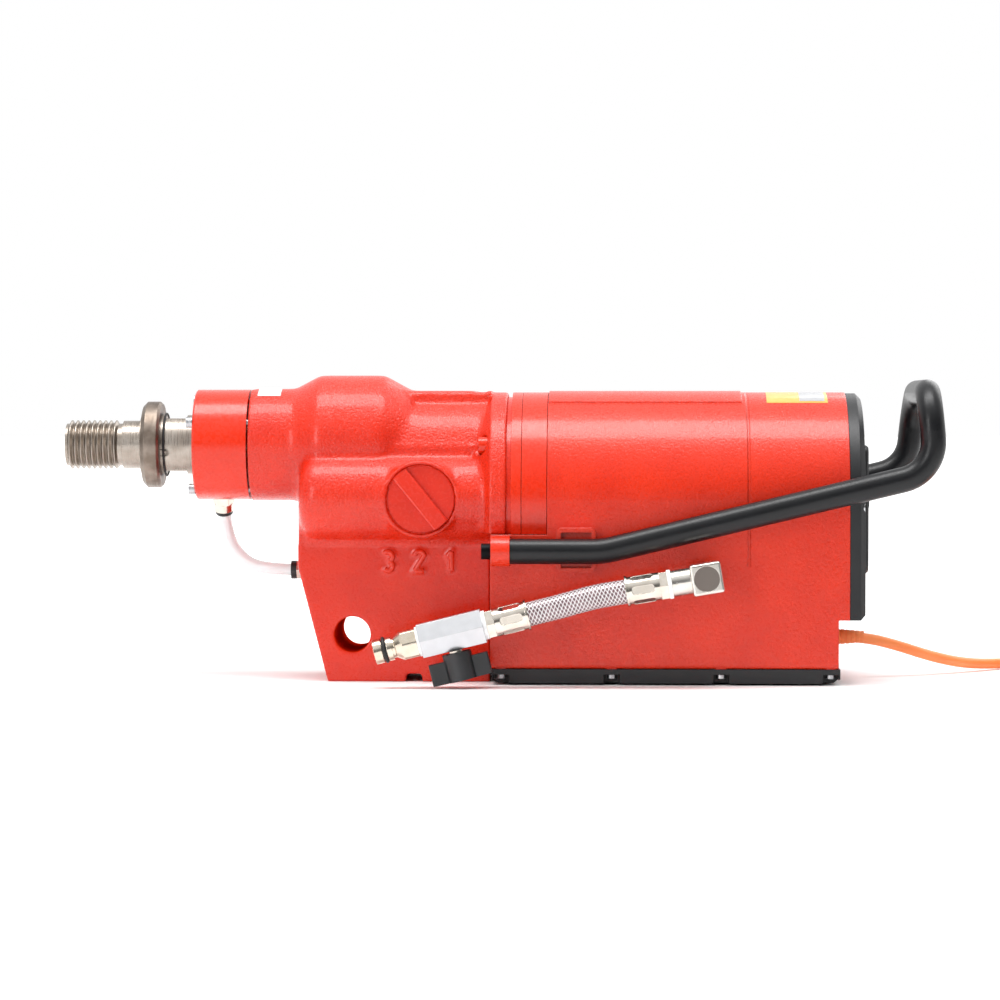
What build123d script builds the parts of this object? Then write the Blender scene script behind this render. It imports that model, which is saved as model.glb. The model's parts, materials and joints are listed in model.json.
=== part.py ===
from build123d import *
from math import acos, atan2, cos, degrees, pi, radians, sin, sqrt, tan
import os

# Core drill motor unit: three-speed gearbox on a mounting foot, water swivel, motor, handle and water set.
# Millimetres. +Z is up, the spindle points along -X. The origin is the centre of the foot's mounting face.

# ---- gears
FINAL_MODULE = 1.5
FINAL_PINION_TEETH = 14
FINAL_WHEEL_TEETH = 50
PAIR_MODULE = 1.0
PAIR_INPUT_TEETH = [25, 30, 35]
PAIR_TOTAL_TEETH = 68
PLANET_MODULE = 1.5
SUN_TEETH = 12
PLANET_TEETH = 24
RING_TEETH = SUN_TEETH + 2 * PLANET_TEETH
PLANET_COUNT = 3
PRESSURE_ANGLE = radians(25)
ADDENDUM = 0.8
DEDENDUM = 1.05
BACKLASH = 0.16

# ---- axes, all parallel to X
SPINDLE_Z = 151.0
MOTOR_Z = 117.0
FINAL_CENTRES = FINAL_MODULE * (FINAL_PINION_TEETH + FINAL_WHEEL_TEETH) / 2
PAIR_CENTRES = PAIR_MODULE * PAIR_TOTAL_TEETH / 2
LAY_Y = -PAIR_CENTRES
LAY_Z = SPINDLE_Z - sqrt(FINAL_CENTRES**2 - PAIR_CENTRES**2)

# ---- clearances
RUNNING = 0.05
GAP = 0.3

# ---- spindle and release ring
THREAD_MAJOR = 31.75
THREAD_PITCH = 25.4 / 7
THREAD_DEPTH = 2.2
THREAD_CRESTS = 9
SPINDLE_TIP = -225.0
NECK_RADIUS = 15.5
SHAFT_RADIUS = 19.2
SEAT_RADIUS = SHAFT_RADIUS - 1.7
TAIL_RADIUS = 10.0
WATER_BORE = 6.0
RING_FRONT = -174.5
RING_BACK = -162.5
RING_RADIUS = 28.0
SHOULDER_X = -176.0
FLAT_WIDTH = 2 * SHAFT_RADIUS - 4.4
SLOT_WIDTH = 4.8
SLOT_END = -156.4
KEY_WIDTH = 3.5
KEY_END = -158.6
SLOT_DROP = 5.0

# ---- water swivel
SWIVEL_FRONT = -140.0
SWIVEL_BACK = -105.0
SWIVEL_RADIUS = 35.75
SWIVEL_SCREW_CIRCLE = 32.0
SWIVEL_SCREW_ANGLE = 27.0
CHAMBER_RADIUS = 26.0
SPIGOT_RADIUS = 4.8
FITTING_TILT = 26.0
FITTING_X = -125.0
WATER_TUBE = 8.0
TUBE_PORT_Y = 20.0
TUBE_PORT_Z = 68.5

# ---- gearbox casing
NOSE_FRONT = -104.0
NOSE_RADIUS = 36.4
NOSE_BACK = -75.5
BULGE_RADIUS = 45.0
BULGE_FRONT = -59.3
BULGE_BACK = -17.5
PAD_TOP = 186.0
PAD_FRONT = 0.8
PAD_HALF = 16.0
SHOULDER_RADIUS = 42.0
SHOULDER_Z = 139.0
LAY_BULGE_RADIUS = 27.6
LAY_BULGE_FRONT = -70.0
FOOT_HALF = 41.5
FOOT_FRONT = -52.0
FOOT_BACK = 52.0
FOOT_NOSE = -71.0
FOOT_NOSE_Z = 73.0
CROSS_HOLE_RADIUS = 11.5
CROSS_HOLE_X = -36.0
CROSS_HOLE_Z = 30.0
KEYWAY_X = 3.5
KEYWAY_WIDTH = 10.0
KEYWAY_DEPTH = 4.8
FOOT_BOLT_X = 76.0
FOOT_BOLT_Y = 56.0
FOOT_BOLT_RADIUS = 4.25
FOOT_BOLT_DEPTH = 16.0
DIGIT_HEIGHT = 15.5
DIGIT_Z = 77.0
DIGIT_WIDTH = 9.0
DIGIT_STROKE = 3.0
DIGIT_RAISE = 1.0
LAY_CAVITY = 23.0
WHEEL_CAVITY = 40.0
WEB_FRONT = -31.5
WEB_BACK = -16.5
FLANGE_BACK = 63.0
FLANGE_BOLT_CIRCLE = 58.0
FLANGE_BOLT_ANGLES = (36, 82, 98, 144)
FLANGE_BOLT_POCKET = 6.2
FLANGE_BOLT_RADIUS = 3.0

# ---- body rings and motor housing
BODY_RADIUS = 68.0
LOWER_RADIUS = 51.0
SPLIT_Z = 95.3
PLATE_BACK = 66.0
FRONT_RING_BACK = 72.5
REAR_RING_FRONT = 72.8
REAR_RING_BACK = 88.7
HOUSING_FRONT = 89.0
HOUSING_LOW_FRONT = 53.0
HOUSING_BACK = 280.0
HOUSING_LOW_BACK = 273.0
REAR_STEP_Z = 41.0
HOUSING_FLOOR = 10.0
BOARD_X = (100.0, 246.0)
BOARD_Z = 18.0
BOARD_THICK = 1.6
WALL = 4.5
MOTOR_BAY_RADIUS = 62.0
BOARD_BAY_TOP = 48.0

# ---- selector
KNOB_X = 8.6
KNOB_RADIUS = 21.2
KNOB_FACE = -62.6
KNOB_FLOOR = -56.2
KNOB_BAR_WIDTH = 10.5
KNOB_BAR_RAISE = 5.0
KNOB_REST_ANGLE = -51.0
SELECTOR_RANGE = 80.0
SHIFT_TRAVEL = 16.0
CRANK_PIN = 2.0
CRANK_Y = -53.0
RAIL_Y = -17.0
RAIL_Z = 97.0
RAIL_RADIUS = 3.0
CRANK_RADIUS = SHIFT_TRAVEL / 2 / sin(radians(SELECTOR_RANGE / 2))

# ---- gear train places along X
WHEEL_X = (-52.0, -35.0)
PAIR_FACE = 7.0
PAIR_FRONT = 22.0
PAIR_STEP = 8.0
COLLAR_X = -12.0
COLLAR_LENGTH = 8.0
PLANET_X = (73.0, 84.0)
CARRIER_X = (67.0, 72.0)

# ---- motor
SHAFT_R = 8.5
STATOR_X = (128.0, 208.0)
STATOR_INNER = 33.0
ROTOR_RADIUS = 32.0
COMMUTATOR_X = (222.0, 244.0)
COMMUTATOR_RADIUS = 19.0
FAN_X = (108.0, 121.0)
BRACKET_X = (250.0, 262.0)

# ---- rear and bottom covers
REAR_COVER_BACK = 290.0
REAR_BLOCK_BACK = 294.0
REAR_BLOCK_HALF = 34.0
REAR_BLOCK_Z = (69.0, 151.0)
COVER_BOTTOM = 1.0
COVER_FRONT = 54.0
COVER_BACK = 274.0
COVER_SCREW_X = [60.0, 130.0, 199.0, 268.0]
COVER_SCREW_Y = 63.6
SCREW_SHANK = 2.0

# ---- handle
HANDLE_RADIUS = 8.0
HANDLE_Y = 82.0
HANDLE_Z = 85.0
LUG_X = (54.0, 66.0)
LUG_RADIUS = 9.4
HANDLE_RISE_X = 124.0
HANDLE_TOP = 185.0
HANDLE_TWIST = 5.0
SADDLE_X = (95.0, 120.0)
SADDLE_Z = (71.5, 99.5)

# ---- water set, on a line beside the foot
SET_Y = -95.0
ELBOW = (189.0, 69.0)
ELBOW_TILT = 9.5
ELBOW_SIZE = 19.6
VALVE = (30.0, 34.3)
VALVE_TILT = 14.0
VALVE_FLATS = 21.0
VALVE_LENGTH = 40.8
FERRULE_LENGTH = 21.6
FERRULE_RADIUS = 9.0
HOSE_RADIUS = 7.7
HEX_LENGTH = 5.0
WASHER = 2.3
ELBOW_NECK = 22.0
LEVER_DROP = 12.2
LEVER_HEIGHT = 13.8
LEVER_NECK = 3.9
LEVER_SPAN = 38.0
LEVER_HUB = 9.2
PLUG_END = 49.7

# ---- mains cord
CORD = 7.0
CORD_ROUTE = [
    (273.4, 0.0, 26.5),
    (292.0, 0.0, 26.5),
    (314.0, 8.0, 21.0),
    (339.0, 25.0, 12.0),
    (364.0, 48.0, 5.6),
    (389.0, 76.0, 3.5),
    (415.0, 104.0, 3.5),
]
COIL_TURN = 42.0
COIL_COLUMNS = 4
COIL_LAYERS = 4
COIL_ENTRY_ANGLE = 47.0
TAIL_ROUTE = [
    (506.0, 66.0, 24.5),
    (505.0, 40.0, 21.5),
    (497.0, 12.0, 15.5),
    (482.0, -14.0, 10.5),
    (463.0, -36.0, 9.0),
    (447.0, -56.0, 9.0),
]

BASE = (Align.CENTER, Align.CENTER, Align.MIN)
CORNER = (Align.MIN, Align.MIN, Align.MIN)


# ---- plain shapes
def rod(radius, x0, x1, y=0.0, z=0.0):
    """Round bar along X."""
    return Pos(x0, y, z) * Rot(0, 90, 0) * Cylinder(radius, x1 - x0, align=BASE)


def taper(radius0, radius1, x0, x1, y=0.0, z=0.0):
    """Cone along X."""
    return Pos(x0, y, z) * Rot(0, 90, 0) * Cone(radius0, radius1, x1 - x0, align=BASE)


def ring(outer, inner, x0, x1, y=0.0, z=0.0):
    """Round sleeve along X."""
    return rod(outer, x0, x1, y, z) - rod(inner, x0 - 1, x1 + 1, y, z)


def block(x0, x1, y0, y1, z0, z1):
    """Box between two corners, given in any order."""
    lowest = (min(x0, x1), min(y0, y1), min(z0, z1))
    return Pos(*lowest) * Box(abs(x1 - x0), abs(y1 - y0), abs(z1 - z0), align=CORNER)


def bar_y(radius, y0, y1, x, z):
    """Round bar along Y, its ends given in any order."""
    return Pos(x, min(y0, y1), z) * Rot(-90, 0, 0) * Cylinder(radius, abs(y1 - y0), align=BASE)


def bar_z(radius, z0, z1, x, y):
    """Round bar along Z."""
    return Pos(x, y, z0) * Cylinder(radius, z1 - z0, align=BASE)


def across(points, half):
    """Side outline in XZ, extruded evenly to both sides of Y = 0."""
    outline = make_face(Polyline([(x, 0, z) for x, z in points], close=True))
    return extrude(outline, half, dir=(0, 1, 0), both=True)


def group(solids):
    """Separate solids that share a node."""
    return Compound(children=[solid for shape in solids for solid in shape.solids()])


def crown(outer, lower, x0, x1):
    """Disc that is full size above the split line and smaller below it."""
    upper = rod(outer, x0, x1, 0, MOTOR_Z)
    upper &= block(x0, x1, -outer - 1, outer + 1, SPLIT_Z, MOTOR_Z + outer + 1)
    return upper + rod(lower, x0, x1, 0, MOTOR_Z)


def body_section(radius, floor, x0, x1):
    """The motor's D section: half round above the motor axis, straight sides below it."""
    return rod(radius, x0, x1, 0, MOTOR_Z) + block(x0, x1, -radius, radius, floor, MOTOR_Z)


def cap_screw(head_radius, head, shank_radius, length):
    """Socket cap screw with its seat at the origin and its shank along +X."""
    screw = rod(head_radius, -head, 0) + rod(shank_radius, 0, length)
    socket = Plane.YZ * RegularPolygon(head_radius * 0.55, 6)
    return screw - Pos(-head, 0, 0) * extrude(socket, head * 0.55)


# ---- gears
def gear_outline(teeth, module, inside=False):
    """Tooth outline with one tooth centred on the first axis; inside gives the hole of a ring gear."""
    pitch = teeth * module / 2
    base = pitch * cos(PRESSURE_ANGLE)
    reach = DEDENDUM if inside else ADDENDUM
    sink = ADDENDUM if inside else DEDENDUM
    top = pitch + reach * module
    root = pitch - sink * module
    play = BACKLASH / 2 if inside else -BACKLASH / 2
    involute = tan(PRESSURE_ANGLE) - PRESSURE_ANGLE

    def half_angle(radius):
        slope = acos(min(1.0, base / max(radius, base)))
        return pi / 2 / teeth + play / pitch + involute - (tan(slope) - slope)

    low = max(root, base)
    steps = [root] if root < base - 0.01 else []
    steps += [low + (top - low) * i / 4 for i in range(5)]
    flank = [(r, half_angle(r)) for r in steps]
    points = []
    for tooth in range(teeth):
        centre = 2 * pi * tooth / teeth
        points += [(r * cos(centre - a), r * sin(centre - a)) for r, a in flank]
        points += [(r * cos(centre + a), r * sin(centre + a)) for r, a in reversed(flank)]
    return make_face(Polyline(points, close=True))


def gear(teeth, module, x0, x1, y, z, towards, tooth_first=True, bore=0.0):
    """Spur gear whose tooth (or space) points at the mating gear's axis."""
    angle = degrees(atan2(towards[1] - z, towards[0] - y))
    if not tooth_first:
        angle += 180 / teeth
    plane = Plane((x0, y, z), x_dir=(0, 1, 0), z_dir=(1, 0, 0))
    body = plane * Rot(0, 0, angle) * extrude(gear_outline(teeth, module), x1 - x0)
    return body - rod(bore, x0 - 1, x1 + 1, y, z) if bore else body


# ---- spindle
def drill_spindle():
    crest = THREAD_MAJOR / 2
    root = crest - THREAD_DEPTH
    thread_end = SPINDLE_TIP + 1.5 + THREAD_CRESTS * THREAD_PITCH
    spindle = rod(root, SPINDLE_TIP, thread_end + 3)
    for turn in range(THREAD_CRESTS):
        start = SPINDLE_TIP + 1.5 + turn * THREAD_PITCH
        spindle += taper(root, crest, start, start + 0.42 * THREAD_PITCH)
        spindle += rod(crest, start + 0.42 * THREAD_PITCH, start + 0.54 * THREAD_PITCH)
        spindle += taper(crest, root, start + 0.54 * THREAD_PITCH, start + 0.96 * THREAD_PITCH)
    spindle += rod(NECK_RADIUS, thread_end + 3, SHOULDER_X)
    spindle += rod(SHAFT_RADIUS, SHOULDER_X, SWIVEL_BACK)
    spindle += rod(SEAT_RADIUS, SWIVEL_BACK, WEB_FRONT - 1)
    spindle += rod(TAIL_RADIUS, WEB_FRONT - 1, WEB_FRONT + 12.5)
    for side in (-1, 1):
        flat = side * FLAT_WIDTH / 2
        outside = side * (SHAFT_RADIUS + 1)
        spindle -= block(-160, -146, -30, 30, min(flat, outside), max(flat, outside))
    for side in (-1, 1):
        reach = sorted((side * (SHAFT_RADIUS - 3), side * (SHAFT_RADIUS + 2)))
        centre = SLOT_END - SLOT_WIDTH / 2
        spindle -= block(SHOULDER_X - 1, centre, *reach, side * SLOT_DROP - SLOT_WIDTH / 2,
                         side * SLOT_DROP + SLOT_WIDTH / 2)
        spindle -= bar_y(SLOT_WIDTH / 2, *reach, centre, side * SLOT_DROP)
    spindle -= rod(WATER_BORE, SPINDLE_TIP - 1, FITTING_X + 4)
    for turn in range(2):
        spindle -= Pos(FITTING_X, 0, 0) * Rot(90 * turn, 0, 0) * Cylinder(3, 2 * SHAFT_RADIUS + 2)
    spindle -= block(WHEEL_X[0] + 2, WHEEL_X[1] - 2, -4, 4, SEAT_RADIUS - 3, SEAT_RADIUS + 1)
    return Pos(0, 0, SPINDLE_Z) * spindle


def wheel_key():
    depth = SEAT_RADIUS - 3
    return Pos(0, 0, SPINDLE_Z) * block(WHEEL_X[0] + 2, WHEEL_X[1] - 2, -4, 4, depth, depth + 6)


def output_wheel():
    wheel = gear(FINAL_WHEEL_TEETH, FINAL_MODULE, *WHEEL_X, 0, SPINDLE_Z, (LAY_Y, LAY_Z), False,
                 SEAT_RADIUS)
    wheel -= ring(31, 22, WHEEL_X[0] - 1, WHEEL_X[0] + 4, 0, SPINDLE_Z)
    return wheel - wheel_key()


def release_ring():
    body = rod(RING_RADIUS, RING_FRONT, RING_BACK)
    body = chamfer(body.faces().sort_by(Axis.X)[0].edges(), 2.6)
    body = chamfer(body.faces().sort_by(Axis.X)[-1].edges(), 1.6)
    body -= rod(SHAFT_RADIUS + RUNNING, RING_FRONT - 1, RING_BACK + 1)
    return Pos(0, 0, SPINDLE_Z) * body


def release_keys():
    keys = []
    for side in (-1, 1):
        reach = sorted((side * (SHAFT_RADIUS - 2.6), side * (SHAFT_RADIUS + RUNNING)))
        centre = KEY_END - KEY_WIDTH / 2
        key = block(RING_FRONT + 1, centre, *reach, side * SLOT_DROP - KEY_WIDTH / 2,
                    side * SLOT_DROP + KEY_WIDTH / 2)
        key += bar_y(KEY_WIDTH / 2, *reach, centre, side * SLOT_DROP)
        key &= rod(SHAFT_RADIUS - 0.1, RING_FRONT, SLOT_END)
        keys.append(Pos(0, 0, SPINDLE_Z) * key)
    return group(keys)


def ring_o_ring():
    return Pos(RING_BACK + 2.4, 0, SPINDLE_Z) * Rot(0, 90, 0) * Torus(SHAFT_RADIUS + 0.75 + RUNNING, 0.75)


def bearing(outer, inner, x0, x1, y, z):
    """Ball bearing as one ring with a groove in each face; the inner bore runs on the shaft."""
    middle = (outer + inner) / 2
    body = ring(outer, inner + RUNNING, x0, x1, y, z)
    body -= ring(middle + 2, middle - 2, x0 - 1, x0 + 1, y, z)
    body -= ring(middle + 2, middle - 2, x1 - 1, x1 + 1, y, z)
    return body


# ---- water swivel
def fitting_axis():
    """Plane on the swivel's axis, looking out along the tilted water inlet."""
    tilt = radians(FITTING_TILT)
    return Plane((FITTING_X, 0, SPINDLE_Z), x_dir=(1, 0, 0), z_dir=(0, sin(tilt), -cos(tilt)))


def swivel_screw_places():
    for turn in range(4):
        angle = radians(SWIVEL_SCREW_ANGLE + 90 * turn)
        yield -SWIVEL_SCREW_CIRCLE * cos(angle), SPINDLE_Z + SWIVEL_SCREW_CIRCLE * sin(angle)


def water_swivel():
    body = rod(SWIVEL_RADIUS, SWIVEL_FRONT, SWIVEL_BACK)
    body = chamfer(body.faces().sort_by(Axis.X)[0].edges(), 1.0)
    body = Pos(0, 0, SPINDLE_Z) * body
    body -= rod(SHAFT_RADIUS + GAP, SWIVEL_FRONT - 1, SWIVEL_BACK + 1, 0, SPINDLE_Z)
    body -= rod(CHAMBER_RADIUS, -130, -118, 0, SPINDLE_Z)
    for x0 in (-137, -115):
        body -= rod(CHAMBER_RADIUS - 1, x0, x0 + 6, 0, SPINDLE_Z)
    body -= fitting_axis() * Cylinder(SPIGOT_RADIUS, 60, align=BASE)
    for y, z in swivel_screw_places():
        body -= rod(SCREW_SHANK, SWIVEL_FRONT - 1, SWIVEL_BACK + 1, y, z)
    return body


def swivel_seals():
    return [ring(CHAMBER_RADIUS - 1, SHAFT_RADIUS + RUNNING, x0, x0 + 6, 0,
                 SPINDLE_Z) for x0 in (-137, -115)]


def swivel_screws():
    length = SWIVEL_BACK - SWIVEL_FRONT + 7
    return group([Pos(SWIVEL_FRONT, y, z) * cap_screw(3.4, 4.0, SCREW_SHANK, length) for y,
                  z in swivel_screw_places()])


def swivel_fitting():
    stem = Cylinder(SPIGOT_RADIUS, 10, align=BASE)
    hexagon = Pos(0, 0, 10) * extrude(RegularPolygon(7.2, 6), 6)
    sleeve = Pos(0, 0, 16) * Cylinder(6.4, 5.5, align=BASE)
    collet = Pos(0, 0, 21.5) * Cone(6.2, 5.6, 2.6, align=BASE)
    bore = Cylinder(WATER_TUBE / 2 + RUNNING, 30, align=BASE)
    lower = Pos(0, 0, SWIVEL_RADIUS - 9.6) * (stem + hexagon + sleeve - bore)
    upper = Pos(0, 0, SWIVEL_RADIUS - 9.6) * (collet - bore)
    return fitting_axis() * lower, fitting_axis() * upper


# ---- gearbox casing
def casing_foot():
    side = [(FOOT_FRONT, 0), (FOOT_BACK, 0), (FOOT_BACK, SPINDLE_Z), (-60, SPINDLE_Z), (FOOT_NOSE, MOTOR_Z),
            (FOOT_NOSE, FOOT_NOSE_Z)]
    foot = across(side, FOOT_HALF)
    return fillet(foot.edges().filter_by(Axis.Y).sort_by(Axis.X)[:2], 2.0)


def lay_bulge():
    bulge = rod(LAY_BULGE_RADIUS, LAY_BULGE_FRONT, FOOT_BACK, LAY_Y, LAY_Z)
    bulge = fillet(bulge.faces().sort_by(Axis.X)[0].edges(), 12)
    boss = bar_y(KNOB_RADIUS + 4.0, LAY_Y - 20, KNOB_FACE + 1.8, KNOB_X, MOTOR_Z)
    boss = fillet(boss.faces().sort_by(Axis.Y)[0].edges(), 2.2)
    return bulge + boss


def upper_casing():
    nose = rod(NOSE_RADIUS, NOSE_FRONT, NOSE_BACK, 0, SPINDLE_Z)
    nose += taper(NOSE_RADIUS, BULGE_RADIUS, NOSE_BACK, BULGE_FRONT, 0, SPINDLE_Z)
    nose += rod(BULGE_RADIUS, BULGE_FRONT, BULGE_BACK, 0, SPINDLE_Z)
    slope = taper(BULGE_RADIUS, PAD_TOP - SPINDLE_Z, BULGE_BACK, PAD_FRONT, 0, SPINDLE_Z)
    shoulder = rod(SHOULDER_RADIUS, BULGE_FRONT + 10, FOOT_BACK, 0, SHOULDER_Z)
    pad = block(PAD_FRONT - 3, FOOT_BACK, -PAD_HALF, PAD_HALF, SHOULDER_Z, PAD_TOP)
    return nose + slope + shoulder + pad


def casing_flare():
    """The casing widens into its rear flange."""
    flare = taper(SHOULDER_RADIUS + 6, BODY_RADIUS - 2, 40, FOOT_BACK, 0, MOTOR_Z)
    flare &= block(38, FOOT_BACK, -BODY_RADIUS, BODY_RADIUS, SPLIT_Z, MOTOR_Z + BODY_RADIUS)
    return flare


def casing_cavity():
    cavity = rod(WHEEL_CAVITY, WHEEL_X[0] - 4, WEB_FRONT, 0, SPINDLE_Z)
    cavity += rod(LAY_CAVITY, -56, WEB_FRONT, LAY_Y, LAY_Z)
    cavity += rod(14, WEB_FRONT - 1, WEB_BACK + 1, LAY_Y, LAY_Z)
    cavity += rod(LAY_CAVITY, WEB_BACK, FLANGE_BACK + 1, LAY_Y, LAY_Z)
    cavity += rod(LAY_CAVITY, WEB_BACK, FLANGE_BACK + 1, 0, MOTOR_Z)
    cavity += block(WEB_BACK, FLANGE_BACK + 1, LAY_Y, 0, RAIL_Z - 6, MOTOR_Z + LAY_CAVITY)
    return cavity


def casing_bores():
    """Seats for the bearings, seals, rail and selector shaft."""
    bores = rod(SEAT_RADIUS + GAP, NOSE_FRONT - 2, WHEEL_X[0] - 3, 0, SPINDLE_Z)
    bores += rod(31, -97, -75, 0, SPINDLE_Z)
    bores += rod(23.5, WEB_FRONT - 1, WEB_FRONT + 13, 0, SPINDLE_Z)
    bores += rod(16, -65, -55, LAY_Y, LAY_Z)
    bores += rod(9, WEB_BACK - 9, WEB_BACK + 1, 0, MOTOR_Z)
    bores += rod(RAIL_RADIUS, WEB_BACK - 7, FLANGE_BACK - 1, RAIL_Y, RAIL_Z)
    bores += bar_y(KNOB_RADIUS + 0.6, KNOB_FACE - 4, KNOB_FLOOR, KNOB_X, MOTOR_Z)
    bores += bar_y(6 + RUNNING, KNOB_FACE, CRANK_Y, KNOB_X, MOTOR_Z)
    bores += bar_y(CRANK_RADIUS + 4, CRANK_Y - 0.4, LAY_Y, KNOB_X, MOTOR_Z)
    return bores


def foot_cuts():
    cuts = bar_y(CROSS_HOLE_RADIUS, -60, 60, CROSS_HOLE_X, CROSS_HOLE_Z)
    half = KEYWAY_WIDTH / 2
    cuts += block(KEYWAY_X - half, KEYWAY_X + half, -60, 60, -1, KEYWAY_DEPTH)
    for x in (-FOOT_BOLT_X / 2, FOOT_BOLT_X / 2):
        for y in (-FOOT_BOLT_Y / 2, FOOT_BOLT_Y / 2):
            cuts += bar_z(FOOT_BOLT_RADIUS, -1, FOOT_BOLT_DEPTH, x, y)
    return cuts


def digit_lines(text):
    """Centre lines of a speed mark, drawn about its own middle."""
    w = (DIGIT_WIDTH - DIGIT_STROKE) / 2
    h = (DIGIT_HEIGHT - DIGIT_STROKE) / 2
    if text == "1":
        return [Polyline((-w * 0.8, h * 0.45), (0.6, h), (0.6, -h))]
    if text == "2":
        top = ThreePointArc((-w, h - w * 0.9), (0, h), (w, h - w * 0.9))
        return [top + Polyline((w, h - w * 0.9), (-w, -h), (w, -h))]
    bowl = h / 2
    upper = ThreePointArc((-w * 0.8, h * 0.8), (bowl * 0.9, bowl * 1.1), (0, 0))
    return [upper, ThreePointArc((0, 0), (bowl * 0.9, -bowl * 1.1), (-w * 0.8, -h * 0.8))]


def digits():
    """Raised speed marks under the selector."""
    marks = []
    for text, x in (("3", -13), ("2", 7), ("1", 27)):
        plane = Plane((x, -FOOT_HALF + 0.5, DIGIT_Z), x_dir=(1, 0, 0), z_dir=(0, -1, 0))
        for line in digit_lines(text):
            marks.append(plane * extrude(trace(line, DIGIT_STROKE), DIGIT_RAISE + 0.5))
    return marks


def flange_bolt_places():
    for angle in FLANGE_BOLT_ANGLES:
        yield FLANGE_BOLT_CIRCLE * cos(radians(angle)), MOTOR_Z + FLANGE_BOLT_CIRCLE * sin(radians(angle))


def gearbox_casing():
    body = casing_foot() + lay_bulge() + upper_casing() + casing_flare()
    body += crown(BODY_RADIUS, LOWER_RADIUS, FOOT_BACK, FLANGE_BACK)
    body -= casing_cavity()
    body -= casing_bores()
    body -= foot_cuts()
    for y, z in swivel_screw_places():
        body -= rod(SCREW_SHANK, NOSE_FRONT - 2, NOSE_FRONT + 6.2, y, z)
    for y, z in flange_bolt_places():
        body -= rod(FLANGE_BOLT_POCKET, 43, FOOT_BACK - 1, y, z)
        if z > MOTOR_Z + BODY_RADIUS / 2 + 10:
            body -= block(43, FOOT_BACK - 1, y - FLANGE_BOLT_POCKET, y + FLANGE_BOLT_POCKET, z, PAD_TOP + 1)
        body -= rod(FLANGE_BOLT_RADIUS, 43, FLANGE_BACK + 1, y, z)
    body -= casing_fitting_hole()
    for mark in digits():
        body += mark
    return body


def casing_fitting_hole():
    return rod(4.5, FOOT_NOSE - 1, FOOT_NOSE + 12, TUBE_PORT_Y, TUBE_PORT_Z)


def casing_fitting():
    """Push-in fitting on the front of the foot: its nut and stem, and its collet."""
    port = Pos(0, TUBE_PORT_Y, TUBE_PORT_Z)
    foot_x = FOOT_NOSE + 0.6
    body = rod(4.5, foot_x - 1, foot_x + 10) + Pos(foot_x - 6.7, 0,
                                                   0) * extrude(Plane.YZ * RegularPolygon(6.6, 6), 6)
    body -= rod(3.0, foot_x - 10, foot_x + 12)
    body -= rod(WATER_TUBE / 2 + RUNNING, foot_x - 10, foot_x - 4)
    collet = ring(6.0, WATER_TUBE / 2 + RUNNING, foot_x - 10.2, foot_x - 6.7)
    return port * body, port * collet


def flange_bolts():
    bolts = []
    for y, z in flange_bolt_places():
        bolts.append(Pos(FOOT_BACK - 1, y, z) * cap_screw(5.4, 6.0, FLANGE_BOLT_RADIUS, 22))
    return group(bolts)


# ---- selector
def selector_knob():
    disc = bar_y(KNOB_RADIUS, KNOB_FACE + 2.4, KNOB_FLOOR - 0.4, 0, 0)
    grip = block(-KNOB_RADIUS, KNOB_RADIUS, KNOB_FACE - KNOB_BAR_RAISE + 2.4, KNOB_FACE + 3,
                 -KNOB_BAR_WIDTH / 2,
                 KNOB_BAR_WIDTH / 2)
    grip = chamfer(grip.edges().filter_by(Axis.X).sort_by(Axis.Y)[:2], 1.0)
    grip &= bar_y(KNOB_RADIUS, KNOB_FACE - 10, KNOB_FACE + 4, 0, 0)
    knob = disc + grip - bar_y(5, KNOB_FACE + 1, KNOB_FLOOR, 0, 0)
    return Pos(KNOB_X, 0, MOTOR_Z) * Rot(0, -KNOB_REST_ANGLE, 0) * knob


def pin_place():
    """Rest place of the crank pin, measured in XZ."""
    start = radians(90 + SELECTOR_RANGE / 2)
    return KNOB_X + CRANK_RADIUS * cos(start), MOTOR_Z + CRANK_RADIUS * sin(start)


def selector_crank():
    """Shaft through the casing wall, its disc and the eccentric pin that moves the fork."""
    pin_x, pin_z = pin_place()
    crank = bar_y(5, KNOB_FACE + 1, KNOB_FLOOR, KNOB_X, MOTOR_Z)
    crank += bar_y(6, KNOB_FLOOR - 0.4, CRANK_Y, KNOB_X, MOTOR_Z)
    crank += bar_y(7, CRANK_Y, CRANK_Y + 3, KNOB_X, MOTOR_Z)
    middle = Pos((KNOB_X + pin_x) / 2, CRANK_Y + 1.5, (MOTOR_Z + pin_z) / 2)
    crank += middle * Rot(0, -SELECTOR_RANGE / 2, 0) * Box(6, 3, CRANK_RADIUS)
    crank += bar_y(3, CRANK_Y, CRANK_Y + 3, pin_x, pin_z)
    return crank + bar_y(CRANK_PIN, CRANK_Y, CRANK_Y + 8, pin_x, pin_z)


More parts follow.
